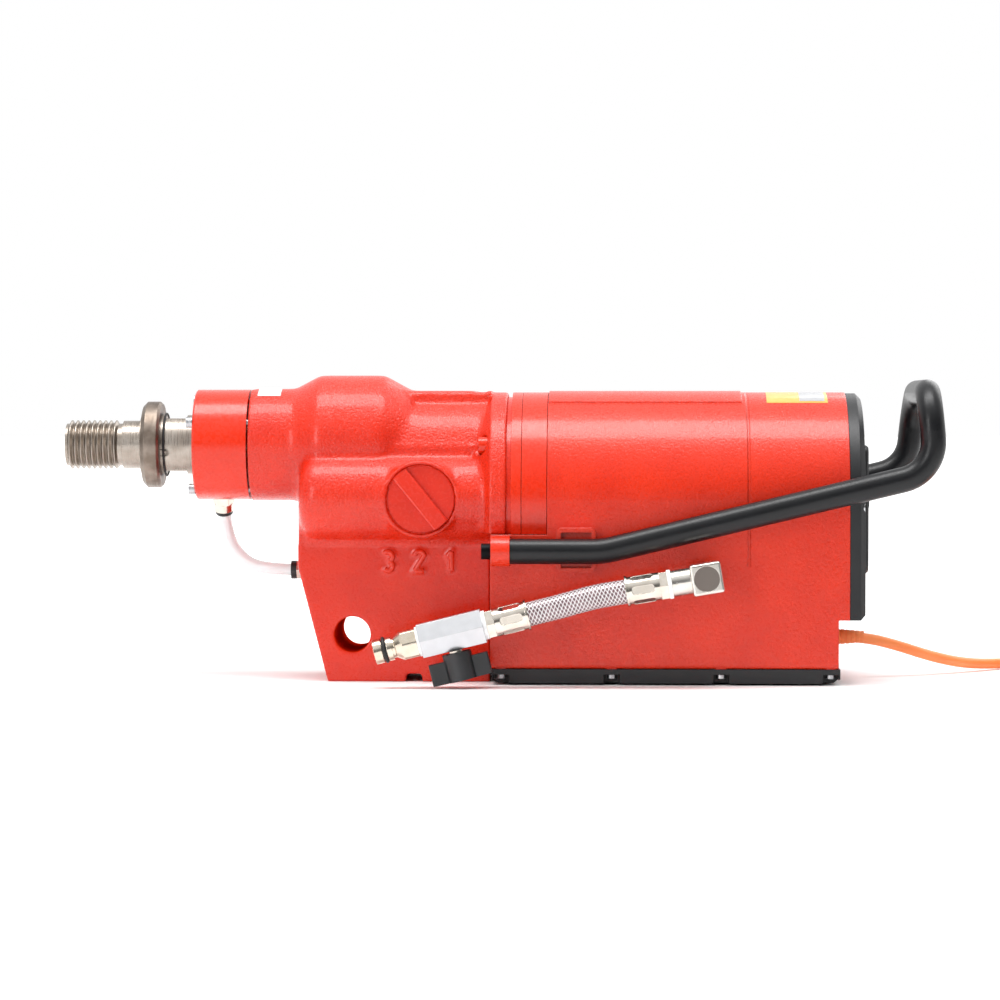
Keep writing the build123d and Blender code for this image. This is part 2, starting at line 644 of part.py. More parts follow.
def shift_fork():
    """Plate that hangs on the rail, rides in the collar's groove and is moved by the crank pin."""
    middle = COLLAR_X + COLLAR_LENGTH / 2
    x0 = middle - 1.25
    x1 = middle + 1.25
    plate = ring(LAY_CAVITY - 1.5, 10, x0, x1, LAY_Y, LAY_Z)
    plate += ring(14.5, 9.7, x0, x1, 0, MOTOR_Z) & block(x0, x1, -20, 0, 90, 140)
    plate += block(x0, x1, RAIL_Y - 5, RAIL_Y + 5, RAIL_Z, MOTOR_Z - 8)
    plate -= block(x0 - 1, x1 + 1, -60, CRANK_Y + 3.4, 90, 145)
    plate += rod(5, x0 - 3, x1 + 3, RAIL_Y, RAIL_Z)
    plate -= rod(10, x0 - 4, x1 + 4, LAY_Y, LAY_Z)
    plate -= rod(9.7, x0 - 1, x1 + 1, 0, MOTOR_Z)
    plate -= rod(RAIL_RADIUS + RUNNING, x0 - 4, x1 + 4, RAIL_Y, RAIL_Z)
    pin_x, pin_z = pin_place()
    front = CRANK_Y + 3.4
    lug = block(x0, pin_x + 4.9, front, front + 3, pin_z - 6, pin_z + 7)
    lug -= block(pin_x - CRANK_PIN - 0.45, pin_x + CRANK_PIN + 0.45, front - 1, front + 4,
                 pin_z - 2.6, pin_z + 5.6)
    return plate + (lug & rod(LAY_CAVITY - 1, x0, pin_x + 5, LAY_Y, LAY_Z))


def fork_rail():
    return rod(RAIL_RADIUS, WEB_BACK - 7, FLANGE_BACK - 1, RAIL_Y, RAIL_Z)


def shift_collar():
    """Grooved collar and the draw key that it slides inside the input shaft."""
    x0 = COLLAR_X
    x1 = COLLAR_X + COLLAR_LENGTH
    middle = (x0 + x1) / 2
    collar = ring(12, 8 + RUNNING, x0, x1, 0, MOTOR_Z)
    collar -= ring(13, 9.5, middle - 1.55, middle + 1.55, 0, MOTOR_Z)
    key_x = PAIR_FRONT + PAIR_FACE / 2
    collar += block(middle - 1, middle + 1, -1.5, 1.5, MOTOR_Z - 9, MOTOR_Z + 9)
    collar += rod(2.5, middle, key_x, 0, MOTOR_Z)
    collar += block(key_x - 2, key_x + 2, -1.5, 1.5, MOTOR_Z - 9.2, MOTOR_Z + 9.2)
    return collar


# ---- gear train
def input_shaft():
    shaft = rod(5, WEB_BACK - 8, WEB_BACK, 0, MOTOR_Z) + rod(8, WEB_BACK, CARRIER_X[0] + 2, 0, MOTOR_Z)
    shaft -= rod(2.8, WEB_BACK + 1, CARRIER_X[0] - 10, 0, MOTOR_Z)
    slot_end = PAIR_FRONT + PAIR_FACE / 2 + SHIFT_TRAVEL + 3
    return shaft - block(COLLAR_X, slot_end, -1.5 - GAP, 1.5 + GAP, MOTOR_Z - 9, MOTOR_Z + 9)


def speed_gear(index):
    x0 = PAIR_FRONT + index * PAIR_STEP
    body = gear(PAIR_INPUT_TEETH[index], PAIR_MODULE, x0, x0 + PAIR_FACE, 0, MOTOR_Z, (LAY_Y, LAY_Z), False,
                8 + RUNNING)
    body -= block(x0 - 1, x0 + PAIR_FACE + 1, -1.8, 1.8, MOTOR_Z - 9.6, MOTOR_Z + 9.6)
    middle = x0 + PAIR_FACE / 2
    return body - rod(9.6, middle - 2.4, middle + 2.4, 0, MOTOR_Z)


def layshaft():
    shaft = rod(7.5, -64, WHEEL_X[0] - 4.5, LAY_Y, LAY_Z) + rod(8.0, WHEEL_X[0] - 4.5, -54, LAY_Y, LAY_Z)
    shaft += gear(FINAL_PINION_TEETH, FINAL_MODULE, WHEEL_X[0] - 2, WHEEL_X[1] + 1.5, LAY_Y, LAY_Z,
                  (0, SPINDLE_Z))
    shaft += rod(9, WHEEL_X[1] + 1.5, 52.5, LAY_Y, LAY_Z)
    return shaft + rod(7.5, 52.5, 61, LAY_Y, LAY_Z)


def layshaft_gears():
    gears = []
    for index, teeth in enumerate(PAIR_INPUT_TEETH):
        x0 = PAIR_FRONT + index * PAIR_STEP
        gears.append(gear(PAIR_TOTAL_TEETH - teeth, PAIR_MODULE, x0, x0 + PAIR_FACE, LAY_Y, LAY_Z,
                          (0, MOTOR_Z),
                          True, 9))
    return group(gears)


def bearing_plate():
    """Steel plate between gearbox and gear rings; its bosses hold the rear bearings of both shafts."""
    plate = crown(BODY_RADIUS - 3, LOWER_RADIUS, FLANGE_BACK, PLATE_BACK)
    plate += rod(LAY_CAVITY - 1.5, 53, FLANGE_BACK, 0, MOTOR_Z) + rod(LAY_CAVITY - 1.5, 53,
                                                                      FLANGE_BACK, LAY_Y, LAY_Z)
    plate -= rod(19, 52, 61.5, 0, MOTOR_Z) + rod(16, 52, 61.5, LAY_Y, LAY_Z)
    plate -= rod(8.5, 52, PLATE_BACK + 1, 0, MOTOR_Z)
    plate -= rod(RAIL_RADIUS, 52, FLANGE_BACK - 1, RAIL_Y, RAIL_Z)
    for y, z in flange_bolt_places():
        plate -= rod(FLANGE_BOLT_RADIUS, FLANGE_BACK - 1, PLATE_BACK + 1, y, z)
    return plate


def front_gear_ring():
    body = crown(BODY_RADIUS, LOWER_RADIUS, PLATE_BACK, FRONT_RING_BACK) - rod(49, PLATE_BACK - 1,
                                                                               80, 0, MOTOR_Z)
    for y, z in flange_bolt_places():
        body -= rod(FLANGE_BOLT_RADIUS, PLATE_BACK - 1, FRONT_RING_BACK + 1, y, z)
    return body


def rear_gear_ring():
    body = crown(BODY_RADIUS, LOWER_RADIUS, REAR_RING_FRONT, REAR_RING_BACK)
    body -= rod(49, REAR_RING_FRONT - 1, 86, 0, MOTOR_Z)
    body -= rod(14, 80, 100, 0, MOTOR_Z)
    for y, z in flange_bolt_places():
        body -= rod(FLANGE_BOLT_RADIUS, REAR_RING_FRONT - 1, 78, y, z)
    return body


def planet_ring_gear():
    plane = Plane((PLANET_X[0] - 1, 0, MOTOR_Z), x_dir=(0, 1, 0), z_dir=(1, 0, 0))
    length = PLANET_X[1] - PLANET_X[0] + 2
    hole = plane * Rot(0, 0, 180 / RING_TEETH) * extrude(gear_outline(RING_TEETH, PLANET_MODULE,
                                                                      True), length)
    return rod(49, PLANET_X[0] - 1, PLANET_X[1] + 1, 0, MOTOR_Z) - hole


def sun_pinion():
    return gear(SUN_TEETH, PLANET_MODULE, PLANET_X[0], PLANET_X[1], 0, MOTOR_Z, (1, MOTOR_Z), True, 4)


def planet_axis(index):
    angle = 2 * pi * index / PLANET_COUNT
    reach = PLANET_MODULE * (SUN_TEETH + PLANET_TEETH) / 2
    return reach * cos(angle), MOTOR_Z + reach * sin(angle)


def planet_gear(index):
    y, z = planet_axis(index)
    return gear(PLANET_TEETH, PLANET_MODULE, *PLANET_X, y, z, (0, MOTOR_Z), False, 6 + RUNNING)


def planet_carrier():
    disc = rod(34, *CARRIER_X, 0, MOTOR_Z) - rod(8, CARRIER_X[0] - 1, CARRIER_X[0] + 2, 0, MOTOR_Z)
    for index in range(PLANET_COUNT):
        y, z = planet_axis(index)
        disc -= rod(4, CARRIER_X[0] - 1, CARRIER_X[1] + 1, y, z)
    return disc


def planet_pins():
    pins = []
    for index in range(PLANET_COUNT):
        y, z = planet_axis(index)
        pin = rod(4, CARRIER_X[0], CARRIER_X[1], y, z) + rod(6, CARRIER_X[1], PLANET_X[1], y, z)
        pins.append(pin)
    return group(pins)


# ---- motor
def rotor_shaft():
    shaft = rod(4, PLANET_X[0], 88, 0, MOTOR_Z) + rod(SHAFT_R, 88, BRACKET_X[0], 0, MOTOR_Z)
    shaft += rod(6, BRACKET_X[0], BRACKET_X[1] - 2.5, 0, MOTOR_Z)
    return shaft + sun_pinion()


def armature_core():
    core = ring(ROTOR_RADIUS, SHAFT_R, *STATOR_X, 0, MOTOR_Z)
    slots = 12
    for slot in range(slots):
        angle = 360 * slot / slots
        cut = block(STATOR_X[0] - 1, STATOR_X[1] + 1, ROTOR_RADIUS - 9, ROTOR_RADIUS + 1, -1.5, 1.5)
        core -= Pos(0, 0, MOTOR_Z) * Rot(angle, 0, 0) * cut
    return core


def armature_windings():
    ends = [ring(ROTOR_RADIUS - 4, SHAFT_R, STATOR_X[0] - 5, STATOR_X[0], 0, MOTOR_Z),
            ring(ROTOR_RADIUS - 4, SHAFT_R, STATOR_X[1], STATOR_X[1] + 10, 0, MOTOR_Z)]
    return [fillet(end.edges().filter_by(GeomType.CIRCLE).group_by(SortBy.RADIUS)[-1], 1.5) for end in ends]


def commutator():
    body = ring(COMMUTATOR_RADIUS, SHAFT_R, *COMMUTATOR_X, 0, MOTOR_Z)
    bars = 24
    for bar in range(bars):
        cut = block(COMMUTATOR_X[0] - 1, COMMUTATOR_X[1] + 1, COMMUTATOR_RADIUS - 1.5,
                    COMMUTATOR_RADIUS + 1, -0.3, 0.3)
        body -= Pos(0, 0, MOTOR_Z) * Rot(360 * bar / bars, 0, 0) * cut
    return body


def cooling_fan():
    hub = ring(16, SHAFT_R, *FAN_X, 0, MOTOR_Z) + ring(50, 12, FAN_X[0], FAN_X[0] + 2, 0, MOTOR_Z)
    for blade in range(16):
        vane = block(FAN_X[0] + 1, FAN_X[1], 24, 49, -0.8, 0.8)
        hub += Pos(0, 0, MOTOR_Z) * Rot(360 * blade / 16, 0, 0) * vane
    return hub


def stator_core():
    core = ring(MOTOR_BAY_RADIUS, 52, *STATOR_X, 0, MOTOR_Z)
    poles = ring(53, STATOR_INNER, *STATOR_X, 0, MOTOR_Z)
    poles &= block(STATOR_X[0], STATOR_X[1], -30, 30, MOTOR_Z - 60, MOTOR_Z + 60)
    return core + poles


def field_windings():
    coils = []
    for side in (-1, 1):
        z0, z1 = sorted((MOTOR_Z + side * 38, MOTOR_Z + side * 48))
        coil = block(STATOR_X[0] - 5, STATOR_X[1] + 8, -37, 37, z0, z1)
        coil -= block(STATOR_X[0], STATOR_X[1], -30, 30, z0 - 1, z1 + 1)
        coil &= rod(52, STATOR_X[0] - 6, STATOR_X[1] + 9, 0, MOTOR_Z)
        coils.append(coil)
    return group(coils)


def rear_bracket():
    """Spider that carries the rear motor bearing and the brush holders."""
    body = ring(MOTOR_BAY_RADIUS, 54, *BRACKET_X, 0, MOTOR_Z) + rod(20, *BRACKET_X, 0, MOTOR_Z)
    for turn in range(3):
        arm = block(BRACKET_X[0], BRACKET_X[1], -6, 6, 15, 56)
        body += Pos(0, 0, MOTOR_Z) * Rot(90 + 90 * turn, 0, 0) * arm
    return body - rod(16, BRACKET_X[0] - 1, BRACKET_X[1] - 2, 0, MOTOR_Z)


def brush_gear():
    """Two carbon brushes, their springs and their holders, beside the commutator."""
    middle = sum(COMMUTATOR_X) / 2
    pieces = []
    for side in (-1, 1):
        pieces.append(block(middle - 6, middle + 6, side * (COMMUTATOR_RADIUS + GAP), side * 36,
                            MOTOR_Z - 4,
                            MOTOR_Z + 4))
        pieces.append(bar_y(3.2, side * 36, side * 44, middle, MOTOR_Z) - bar_y(2.2, side * 35,
                                                                                side * 45, middle,
                                                                                MOTOR_Z))
        holder = block(middle - 8, BRACKET_X[0], side * 23, side * 46, MOTOR_Z - 6, MOTOR_Z + 6)
        pieces.append(holder - block(middle - 6, middle + 6, side * 22, side * 44, MOTOR_Z - 4,
                                     MOTOR_Z + 4))
    return pieces


# ---- motor housing and covers
def handle_lug(side):
    lug = rod(LUG_RADIUS, *LUG_X, side * HANDLE_Y, HANDLE_Z)
    y0, y1 = sorted((side * (BODY_RADIUS - 1), side * HANDLE_Y))
    return lug + block(LUG_X[0], LUG_X[1], y0, y1, HANDLE_Z - LUG_RADIUS, HANDLE_Z + LUG_RADIUS)


def motor_housing():
    body = body_section(BODY_RADIUS, HOUSING_FLOOR, HOUSING_LOW_FRONT, HOUSING_BACK)
    body -= block(HOUSING_LOW_FRONT - 1, HOUSING_FRONT, -80, 80, SPLIT_Z - GAP, 200)
    body -= block(HOUSING_LOW_BACK, HOUSING_BACK + 1, -80, 80, 0, REAR_STEP_Z)
    body = fillet(body.edges().filter_by(Axis.X).sort_by(Axis.Z)[:2], 3)
    for side in (-1, 1):
        body += handle_lug(side)
        body -= rod(3.3, 50, 70, side * HANDLE_Y, HANDLE_Z)
    body -= rod(LOWER_RADIUS + GAP, HOUSING_LOW_FRONT - 1, HOUSING_FRONT, 0, MOTOR_Z)
    body -= rod(MOTOR_BAY_RADIUS, HOUSING_FRONT + 15, HOUSING_BACK + 1, 0, MOTOR_Z)
    body -= rod(20, HOUSING_FRONT + 3, HOUSING_FRONT + 16, 0, MOTOR_Z) + rod(12, 80, 110, 0, MOTOR_Z)
    body -= block(HOUSING_LOW_FRONT + 2 * WALL, HOUSING_LOW_BACK - WALL, WALL - BODY_RADIUS,
                  BODY_RADIUS - WALL,
                  HOUSING_FLOOR - 1, BOARD_BAY_TOP)
    body -= rod(6, HOUSING_LOW_BACK - WALL - 1, HOUSING_LOW_BACK + 1, 0, CORD_ROUTE[0][2])
    body -= bar_y(6.5, -BODY_RADIUS - 1, -BODY_RADIUS + WALL - 1, *ELBOW)
    for y, z in rear_screw_places():
        body += rod(5, HOUSING_BACK - 14, HOUSING_BACK, y, z) & body_section(BODY_RADIUS - 1, 0,
                                                                             200, HOUSING_BACK)
        body -= rod(SCREW_SHANK, HOUSING_BACK - 12, HOUSING_BACK + 1, y, z)
    for x, y in bottom_screw_places():
        body += bar_z(4.5, HOUSING_FLOOR, HOUSING_FLOOR + 12, x, y) & block(50, 280, -67, 67, 0, 40)
        body -= bar_z(SCREW_SHANK, HOUSING_FLOOR - 1, HOUSING_FLOOR + 10, x, y)
    for x in (BOARD_X[0] + 6, BOARD_X[1] - 6):
        for y in (-44, 44):
            body += bar_z(4, BOARD_Z + BOARD_THICK, BOARD_BAY_TOP + 1, x, y)
    return body + top_pad() + handle_saddles()


def rear_outline(radius, x0, x1, inset):
    """Rear cover section, cut off at the housing's step."""
    section = body_section(radius - inset, REAR_STEP_Z + inset, x0, x1)
    return section


def rear_cover():
    rim = rear_outline(BODY_RADIUS - 0.6, HOUSING_BACK, REAR_COVER_BACK, 0)
    edges = rim.faces().sort_by(Axis.X)[-1].edges()
    rim = chamfer(edges, 3.2)
    raised = block(REAR_COVER_BACK - 2, REAR_BLOCK_BACK, -REAR_BLOCK_HALF, REAR_BLOCK_HALF, *REAR_BLOCK_Z)
    raised = fillet(raised.edges().filter_by(Axis.X), 6)
    body = rim + chamfer(raised.faces().sort_by(Axis.X)[-1].edges(), 1.2)
    body -= rear_outline(BODY_RADIUS - 0.6, HOUSING_BACK - 1, HOUSING_BACK + 6.5, 5)
    body -= switch_pocket()
    for y, z in rear_screw_places():
        body -= rod(4.2, REAR_COVER_BACK - 3, REAR_COVER_BACK + 1, y, z)
        body -= rod(SCREW_SHANK, HOUSING_BACK - 1, REAR_COVER_BACK + 1, y, z)
    for slot in range(7):
        z = 88 + 8 * slot
        body -= block(REAR_COVER_BACK - 5, REAR_COVER_BACK + 1, 41, 58, z, z + 3.4)
        body -= block(REAR_COVER_BACK - 5, REAR_COVER_BACK + 1, -58, -41, z, z + 3.4)
    return body


def rear_screw_places():
    for side in (-1, 1):
        yield side * 60.0, 47.0
        yield side * 61.5, 112.0
        yield side * 34.0, 166.0


def rear_screws():
    turned = []
    for y, z in rear_screw_places():
        screw = Rot(0, 0, 180) * cap_screw(3.8, 2.6, 2.0, 14)
        turned.append(Pos(REAR_COVER_BACK - 3, y, z) * screw)
    return turned


def switch_pocket():
    return block(REAR_BLOCK_BACK - 9, REAR_BLOCK_BACK + 1, -11, 11, 98, 128)


def switch_frame():
    frame = switch_pocket() & block(REAR_BLOCK_BACK - 10, REAR_BLOCK_BACK, -20, 20, 90, 140)
    frame += block(REAR_BLOCK_BACK, REAR_BLOCK_BACK + 1.2, -12.5, 12.5, 96.5, 129.5)
    return frame - block(REAR_BLOCK_BACK - 7, REAR_BLOCK_BACK + 2, -8.5, 8.5, 101, 125)


def power_switch():
    """Rocker that tilts about a cross axis inside its frame."""
    rocker = across([(-2.6, -11.2), (0.2, -11.2), (2.2, -1.0), (2.2, 1.0), (3.4, 11.2), (-2.6,
                                                                                         11.2), (-5,
                                                                                                 0)], 8.2)
    return Pos(REAR_BLOCK_BACK, 0, 113) * (rocker + bar_y(1.5, -8.45, 8.45, -2, 0))


def bottom_cover():
    side = [(COVER_FRONT + 4, COVER_BOTTOM), (COVER_BACK - 4, COVER_BOTTOM), (COVER_BACK, COVER_BOTTOM + 3),
            (COVER_BACK, HOUSING_FLOOR), (COVER_FRONT, HOUSING_FLOOR), (COVER_FRONT, COVER_BOTTOM + 3)]
    body = across(side, BODY_RADIUS - 0.5)
    body -= block(COVER_FRONT + 10, COVER_BACK - 10, -58, 58, COVER_BOTTOM + 3, HOUSING_FLOOR + 1)
    for x, y in bottom_screw_places():
        body -= block(x - 5, x + 5, y * 0.945, y * 1.2, COVER_BOTTOM - 1, COVER_BOTTOM + 5.5)
        body -= bar_z(SCREW_SHANK, 0, HOUSING_FLOOR + 1, x, y)
    return body


def bottom_screw_places():
    for x in COVER_SCREW_X:
        yield x, -COVER_SCREW_Y
        yield x, COVER_SCREW_Y


def bottom_screws():
    seat = COVER_BOTTOM + 5.5
    return [bar_z(3.0, seat - 2.5, seat, x, y) + bar_z(SCREW_SHANK, seat, HOUSING_FLOOR + 8, x, y)
            for x, y in bottom_screw_places()]


def top_pad():
    """Raised cast area on top of the housing."""
    pad = ring(BODY_RADIUS + 1.0, BODY_RADIUS - 1, HOUSING_FRONT + 0.5, 213, 0, MOTOR_Z)
    return pad & block(80, 220, -30, 30, MOTOR_Z, 200)


# ---- handle
def handle_route():
    rise = tan(radians(13.5))
    leg_x = 332.4
    leg_z = HANDLE_Z + rise * (leg_x - HANDLE_RISE_X)
    top_x = leg_x - (HANDLE_TOP - leg_z) * tan(radians(5))
    near = [(LUG_X[1], -HANDLE_Y, HANDLE_Z), (HANDLE_RISE_X, -HANDLE_Y, HANDLE_Z), (leg_x,
                                                                                    -HANDLE_Y, leg_z),
            (top_x, -HANDLE_Y, HANDLE_TOP)]
    far = [(top_x + HANDLE_TWIST, HANDLE_Y, HANDLE_TOP), (leg_x - HANDLE_TWIST, HANDLE_Y, leg_z)]
    return near + far + [(x, -y, z) for x, y, z in reversed(near[:2])]


def handle():
    path = FilletPolyline(*handle_route(), radius=[60, 24, 24, 24, 24, 60])
    start = Plane(origin=path @ 0, z_dir=path % 0)
    outside = sweep(start * Circle(HANDLE_RADIUS), path=path)
    for side in (-1, 1):
        outside -= rod(4.0, LUG_X[1] - 1, LUG_X[1] + 16, side * HANDLE_Y, HANDLE_Z)
    return outside


def handle_screws():
    screws = []
    for side in (-1, 1):
        screw = cap_screw(5.0, 6.0, 3.2, 12.5)
        screw += rod(3.9, 12.4, 26)
        screws.append(Pos(LUG_X[0], side * HANDLE_Y, HANDLE_Z) * screw)
    return group(screws)


def handle_saddles():
    pads = Part()
    for side in (-1, 1):
        pad = block(*SADDLE_X, side * (BODY_RADIUS - 0.5), side * (HANDLE_Y - HANDLE_RADIUS + 1.5),
                    *SADDLE_Z)
        pad = fillet(pad.edges().filter_by(Axis.Y), 4)
        pad -= block(SADDLE_X[0] + 3, SADDLE_X[1] - 3, side * (HANDLE_Y - HANDLE_RADIUS - 2),
                     side * HANDLE_Y,
                     SADDLE_Z[0] + 3, SADDLE_Z[1] - 3)
        pads += pad - rod(HANDLE_RADIUS + GAP, SADDLE_X[0] - 1, SADDLE_X[1] + 1, side * HANDLE_Y, HANDLE_Z)
    return pads


# ---- water set
def line_plane(place, tilt, along):
    """Plane at a distance along a pipe that falls towards -X, with its normal down the pipe."""
    slope = radians(tilt)
    x = place[0] - along * cos(slope)
    z = place[1] - along * sin(slope)
    return Plane((x, SET_Y, z), x_dir=(0, -1, 0), z_dir=(-cos(slope), 0, -sin(slope)))


def elbow_plane(along=0.0):
    return line_plane(ELBOW, ELBOW_TILT, along)


def valve_plane(along=0.0):
    return line_plane(VALVE, VALVE_TILT, along)


def inlet_elbow():
    half = ELBOW_SIZE / 2
    body = elbow_plane() * fillet(Box(ELBOW_SIZE, ELBOW_SIZE, ELBOW_SIZE).edges(), 1.6)
    body += elbow_plane(half - 1) * Cylinder(8.5, ELBOW_NECK - half + 1, align=BASE)
    body += bar_y(9.0, SET_Y + half - 1, -BODY_RADIUS - 2.5, *ELBOW)
    body += bar_y(6.5, -BODY_RADIUS - 3, -BODY_RADIUS + 3.5, *ELBOW)
    body -= elbow_plane() * Cylinder(5, ELBOW_NECK + 1, align=BASE)
    body -= bar_y(5, SET_Y, -BODY_RADIUS + 5, *ELBOW)
    return body - bar_y(8.0, SET_Y - half - 1, SET_Y - half + 1.6, *ELBOW)


def elbow_disc():
    half = ELBOW_SIZE / 2
    return bar_y(8.0, SET_Y - half + 0.4, SET_Y - half + 1.6, *ELBOW)


def hose_tail(plane, start, step):
    """Washer, hex nut and ferrule from a fitting's face to the hose; step is -1 up the pipe."""
    turn = Rot(0, 0 if step > 0 else 180, 0)
    washer = Cylinder(9.15, WASHER, align=BASE) - Cylinder(5, WASHER, align=BASE)
    nut = extrude(RegularPolygon(9.6, 6), HEX_LENGTH) - Cylinder(5, HEX_LENGTH, align=BASE)
    lip = Pos(0, 0, FERRULE_LENGTH - 1.4) * Cylinder(9.9, 1.4, align=BASE)
    ferrule = Cylinder(FERRULE_RADIUS, FERRULE_LENGTH, align=BASE) + lip
    ferrule -= Cylinder(5, FERRULE_LENGTH + 1, align=BASE)
    window = Pos(FERRULE_RADIUS, 0, FERRULE_LENGTH / 2) * fillet(Box(1.2, 5,
                                                                     14).edges().filter_by(Axis.X), 2)
    for side in range(6):
        ferrule -= Rot(0, 0, 60 * side) * window
    nut_start = start + step * WASHER
    ferrule_start = nut_start + step * HEX_LENGTH
    return plane(start) * turn * washer, plane(nut_start) * turn * nut, plane(ferrule_start) * turn * ferrule


def hose_pieces():
    """The sealing washers, and the nuts and ferrules, of both hose ends."""
    upper = hose_tail(elbow_plane, ELBOW_NECK, 1)
    lower = hose_tail(valve_plane, -VALVE_LENGTH / 2, -1)
    return group([upper[0], lower[0], valve_washer()]), group([*upper[1:], *lower[1:]])


def tail_length():
    return WASHER + HEX_LENGTH + FERRULE_LENGTH


def hose_ends():
    """Centres of the two ferrule mouths."""
    near = elbow_plane(ELBOW_NECK + tail_length()).origin
    far = valve_plane(-VALVE_LENGTH / 2 - tail_length()).origin
    return near, far


def hose_route():
    near, far = hose_ends()
    first = (near.X - 20 * cos(radians(ELBOW_TILT)), SET_Y, near.Z - 20 * sin(radians(ELBOW_TILT)))
    last = (far.X + 20 * cos(radians(VALVE_TILT)), SET_Y, far.Z + 20 * sin(radians(VALVE_TILT)))
    return [tuple(near), first, last, tuple(far)]


def braided_hose():
    path, _ = cord_path(hose_route())
    return sweep(Plane(origin=path @ 0, z_dir=path % 0) * (Circle(HOSE_RADIUS) - Circle(5)), path=path)


def valve_body():
    hexagon = extrude(RegularPolygon(VALVE_FLATS / sqrt(3), 6), VALVE_LENGTH / 2, both=True)
    body = valve_plane() * hexagon
    body -= valve_plane() * Cylinder(5, VALVE_LENGTH + 2)
    body -= valve_plane() * Sphere(8 + RUNNING)
    body -= stem_plane() * Cylinder(3.2 + RUNNING, VALVE_FLATS, align=BASE)
    return body


def stem_plane():
    """Plane on the valve's centre with its normal down the lever's stem."""
    slope = radians(VALVE_TILT)
    return Plane((VALVE[0], SET_Y, VALVE[1]), x_dir=(cos(slope), 0, sin(slope)), z_dir=(sin(slope),
                                                                                        0, -cos(slope)))


def valve_ball():
    ball = Sphere(8) - Rot(0, 90, 0) * Cylinder(5, 20)
    stem = Pos(0, 0, 7) * Cylinder(3.2, LEVER_DROP - 7, align=BASE)
    collar = Pos(0, 0, VALVE_FLATS / 2 + GAP) * Cylinder(4.6, LEVER_DROP - VALVE_FLATS / 2 - GAP,
                                                         align=BASE)
    return stem_plane() * (ball + stem + collar)


def valve_lever():
    hub = Pos(0, 0, LEVER_DROP) * Cylinder(LEVER_HUB, LEVER_HEIGHT + LEVER_NECK, align=BASE)
    wing = Pos(0, 0, LEVER_DROP + LEVER_NECK) * Box(LEVER_SPAN, 5.5, LEVER_HEIGHT, align=BASE)
    wing = fillet(wing.edges().filter_by(Axis.Z), 1.2)
    return stem_plane() * (hub + wing)


def valve_washer():
    return valve_plane(VALVE_LENGTH / 2) * (Cylinder(9.4, 1.6, align=BASE) - Cylinder(5, 1.6, align=BASE))


def coupling_plug():
    start = VALVE_LENGTH / 2 + 1.6
    profile = [(0, 0), (9.6, 0), (9.6, 9.5), (6.4, 14.5), (6.4, 16.0), (7.6, 16.0), (7.6, 19.4),
               (6.6, 19.4),
               (6.6, 22.6), (7.8, 22.6), (7.8, PLUG_END - start), (0, PLUG_END - start)]
    outline = make_face(Polyline([(r, 0, h) for r, h in profile], close=True))
    turned = revolve(outline, Axis.Z)
    turned &= extrude(RegularPolygon(10.2, 6), 14.5) + Pos(0, 0, 14.5) * Cylinder(12, 30, align=BASE)
    return valve_plane(start) * (turned - Cylinder(4.5, 60, align=BASE))


def coupling_o_ring():
    start = VALVE_LENGTH / 2 + 1.6
    return valve_plane(start + 21.0) * (Torus(7.3, 1.1) - Cylinder(6.6, 4))


# ---- cords and tubes
def cord_path(points):
    """Straight runs joined by the largest tangent arcs that they allow, and those radii."""
    radii = []
    for before, here, after in zip(points, points[1:], points[2:]):
        first = Vector(*here) - Vector(*before)
        second = Vector(*after) - Vector(*here)
        turn = first.get_angle(second)
        radii.append(0.45 * min(first.length, second.length) / tan(radians(turn) / 2))
    return FilletPolyline(*points, radius=radii), radii


def cord_tube(name, points, diameter):
    path, radii = cord_path(points)
    tube = sweep(Plane(origin=path @ 0, z_dir=path % 0) * Circle(diameter / 2), path=path)
    share = tube.volume / (pi * diameter**2 / 4 * path.length)
    print(name, "length", round(path.length, 1), "volume share", round(share, 4), "radii",
          [round(r) for r in radii])
    return tube


def water_tube():
    """Clear tube from the swivel round to the front of the foot, held at both ends."""
    tilt = radians(FITTING_TILT)

    def below(reach):
        return FITTING_X, reach * sin(tilt), SPINDLE_Z - reach * cos(tilt)

    end = (FOOT_NOSE - 4.0, TUBE_PORT_Y, TUBE_PORT_Z)
    points = [below(SWIVEL_RADIUS + 8), below(66), (-113, 27, 73.5), (-95.5, TUBE_PORT_Y, TUBE_PORT_Z), end]
    return cord_tube("water tube", points, WATER_TUBE)


def cord_gland():
    x = HOUSING_LOW_BACK
    z = CORD_ROUTE[0][2]
    body = rod(6, x - WALL, x + 0.4, 0, z) + rod(9, x - WALL - 5, x - WALL, 0, z)
    return body - rod(2.0, x - 20, x + 1, 0, z)


def coil_centre():
    angle = radians(COIL_ENTRY_ANGLE)
    outer = COIL_TURN + (COIL_COLUMNS - 1) * CORD / 2
    end = CORD_ROUTE[-1]
    return end[0] + outer * sin(angle), end[1] - outer * cos(angle)


def cord_coil():
    x, y = coil_centre()
    half = COIL_COLUMNS * CORD / 2
    body = bar_z(COIL_TURN + half, 0, COIL_LAYERS * CORD, x, y)
    body -= bar_z(COIL_TURN - half, -1, COIL_LAYERS * CORD + 1, x, y)
    return fillet(body.edges(), CORD / 2)


def plug_plane():
    before, last = TAIL_ROUTE[-2:]
    direction = Vector(*last) - Vector(*before)
    return Plane(origin=last, x_dir=(direction.Y, -direction.X, 0), z_dir=tuple(direction))


def mains_plug():
    body = Pos(0, 0, 14) * fillet(Box(36, 17, 32, align=BASE).edges().filter_by(Axis.Z), 7)
    relief = Cone(5.5, 7.5, 16, align=BASE)
    plug = fillet((body + relief).faces().sort_by(Axis.Z)[-1].edges(), 2)
    return plug_plane() * plug


def plug_pins():
    pins = [plug_plane() * Pos(side * 9.5, 0, 46) * Cylinder(2.4, 19, align=BASE) for side in (-1, 1)]
    return [fillet(pin.edges(), 0.6) for pin in pins]


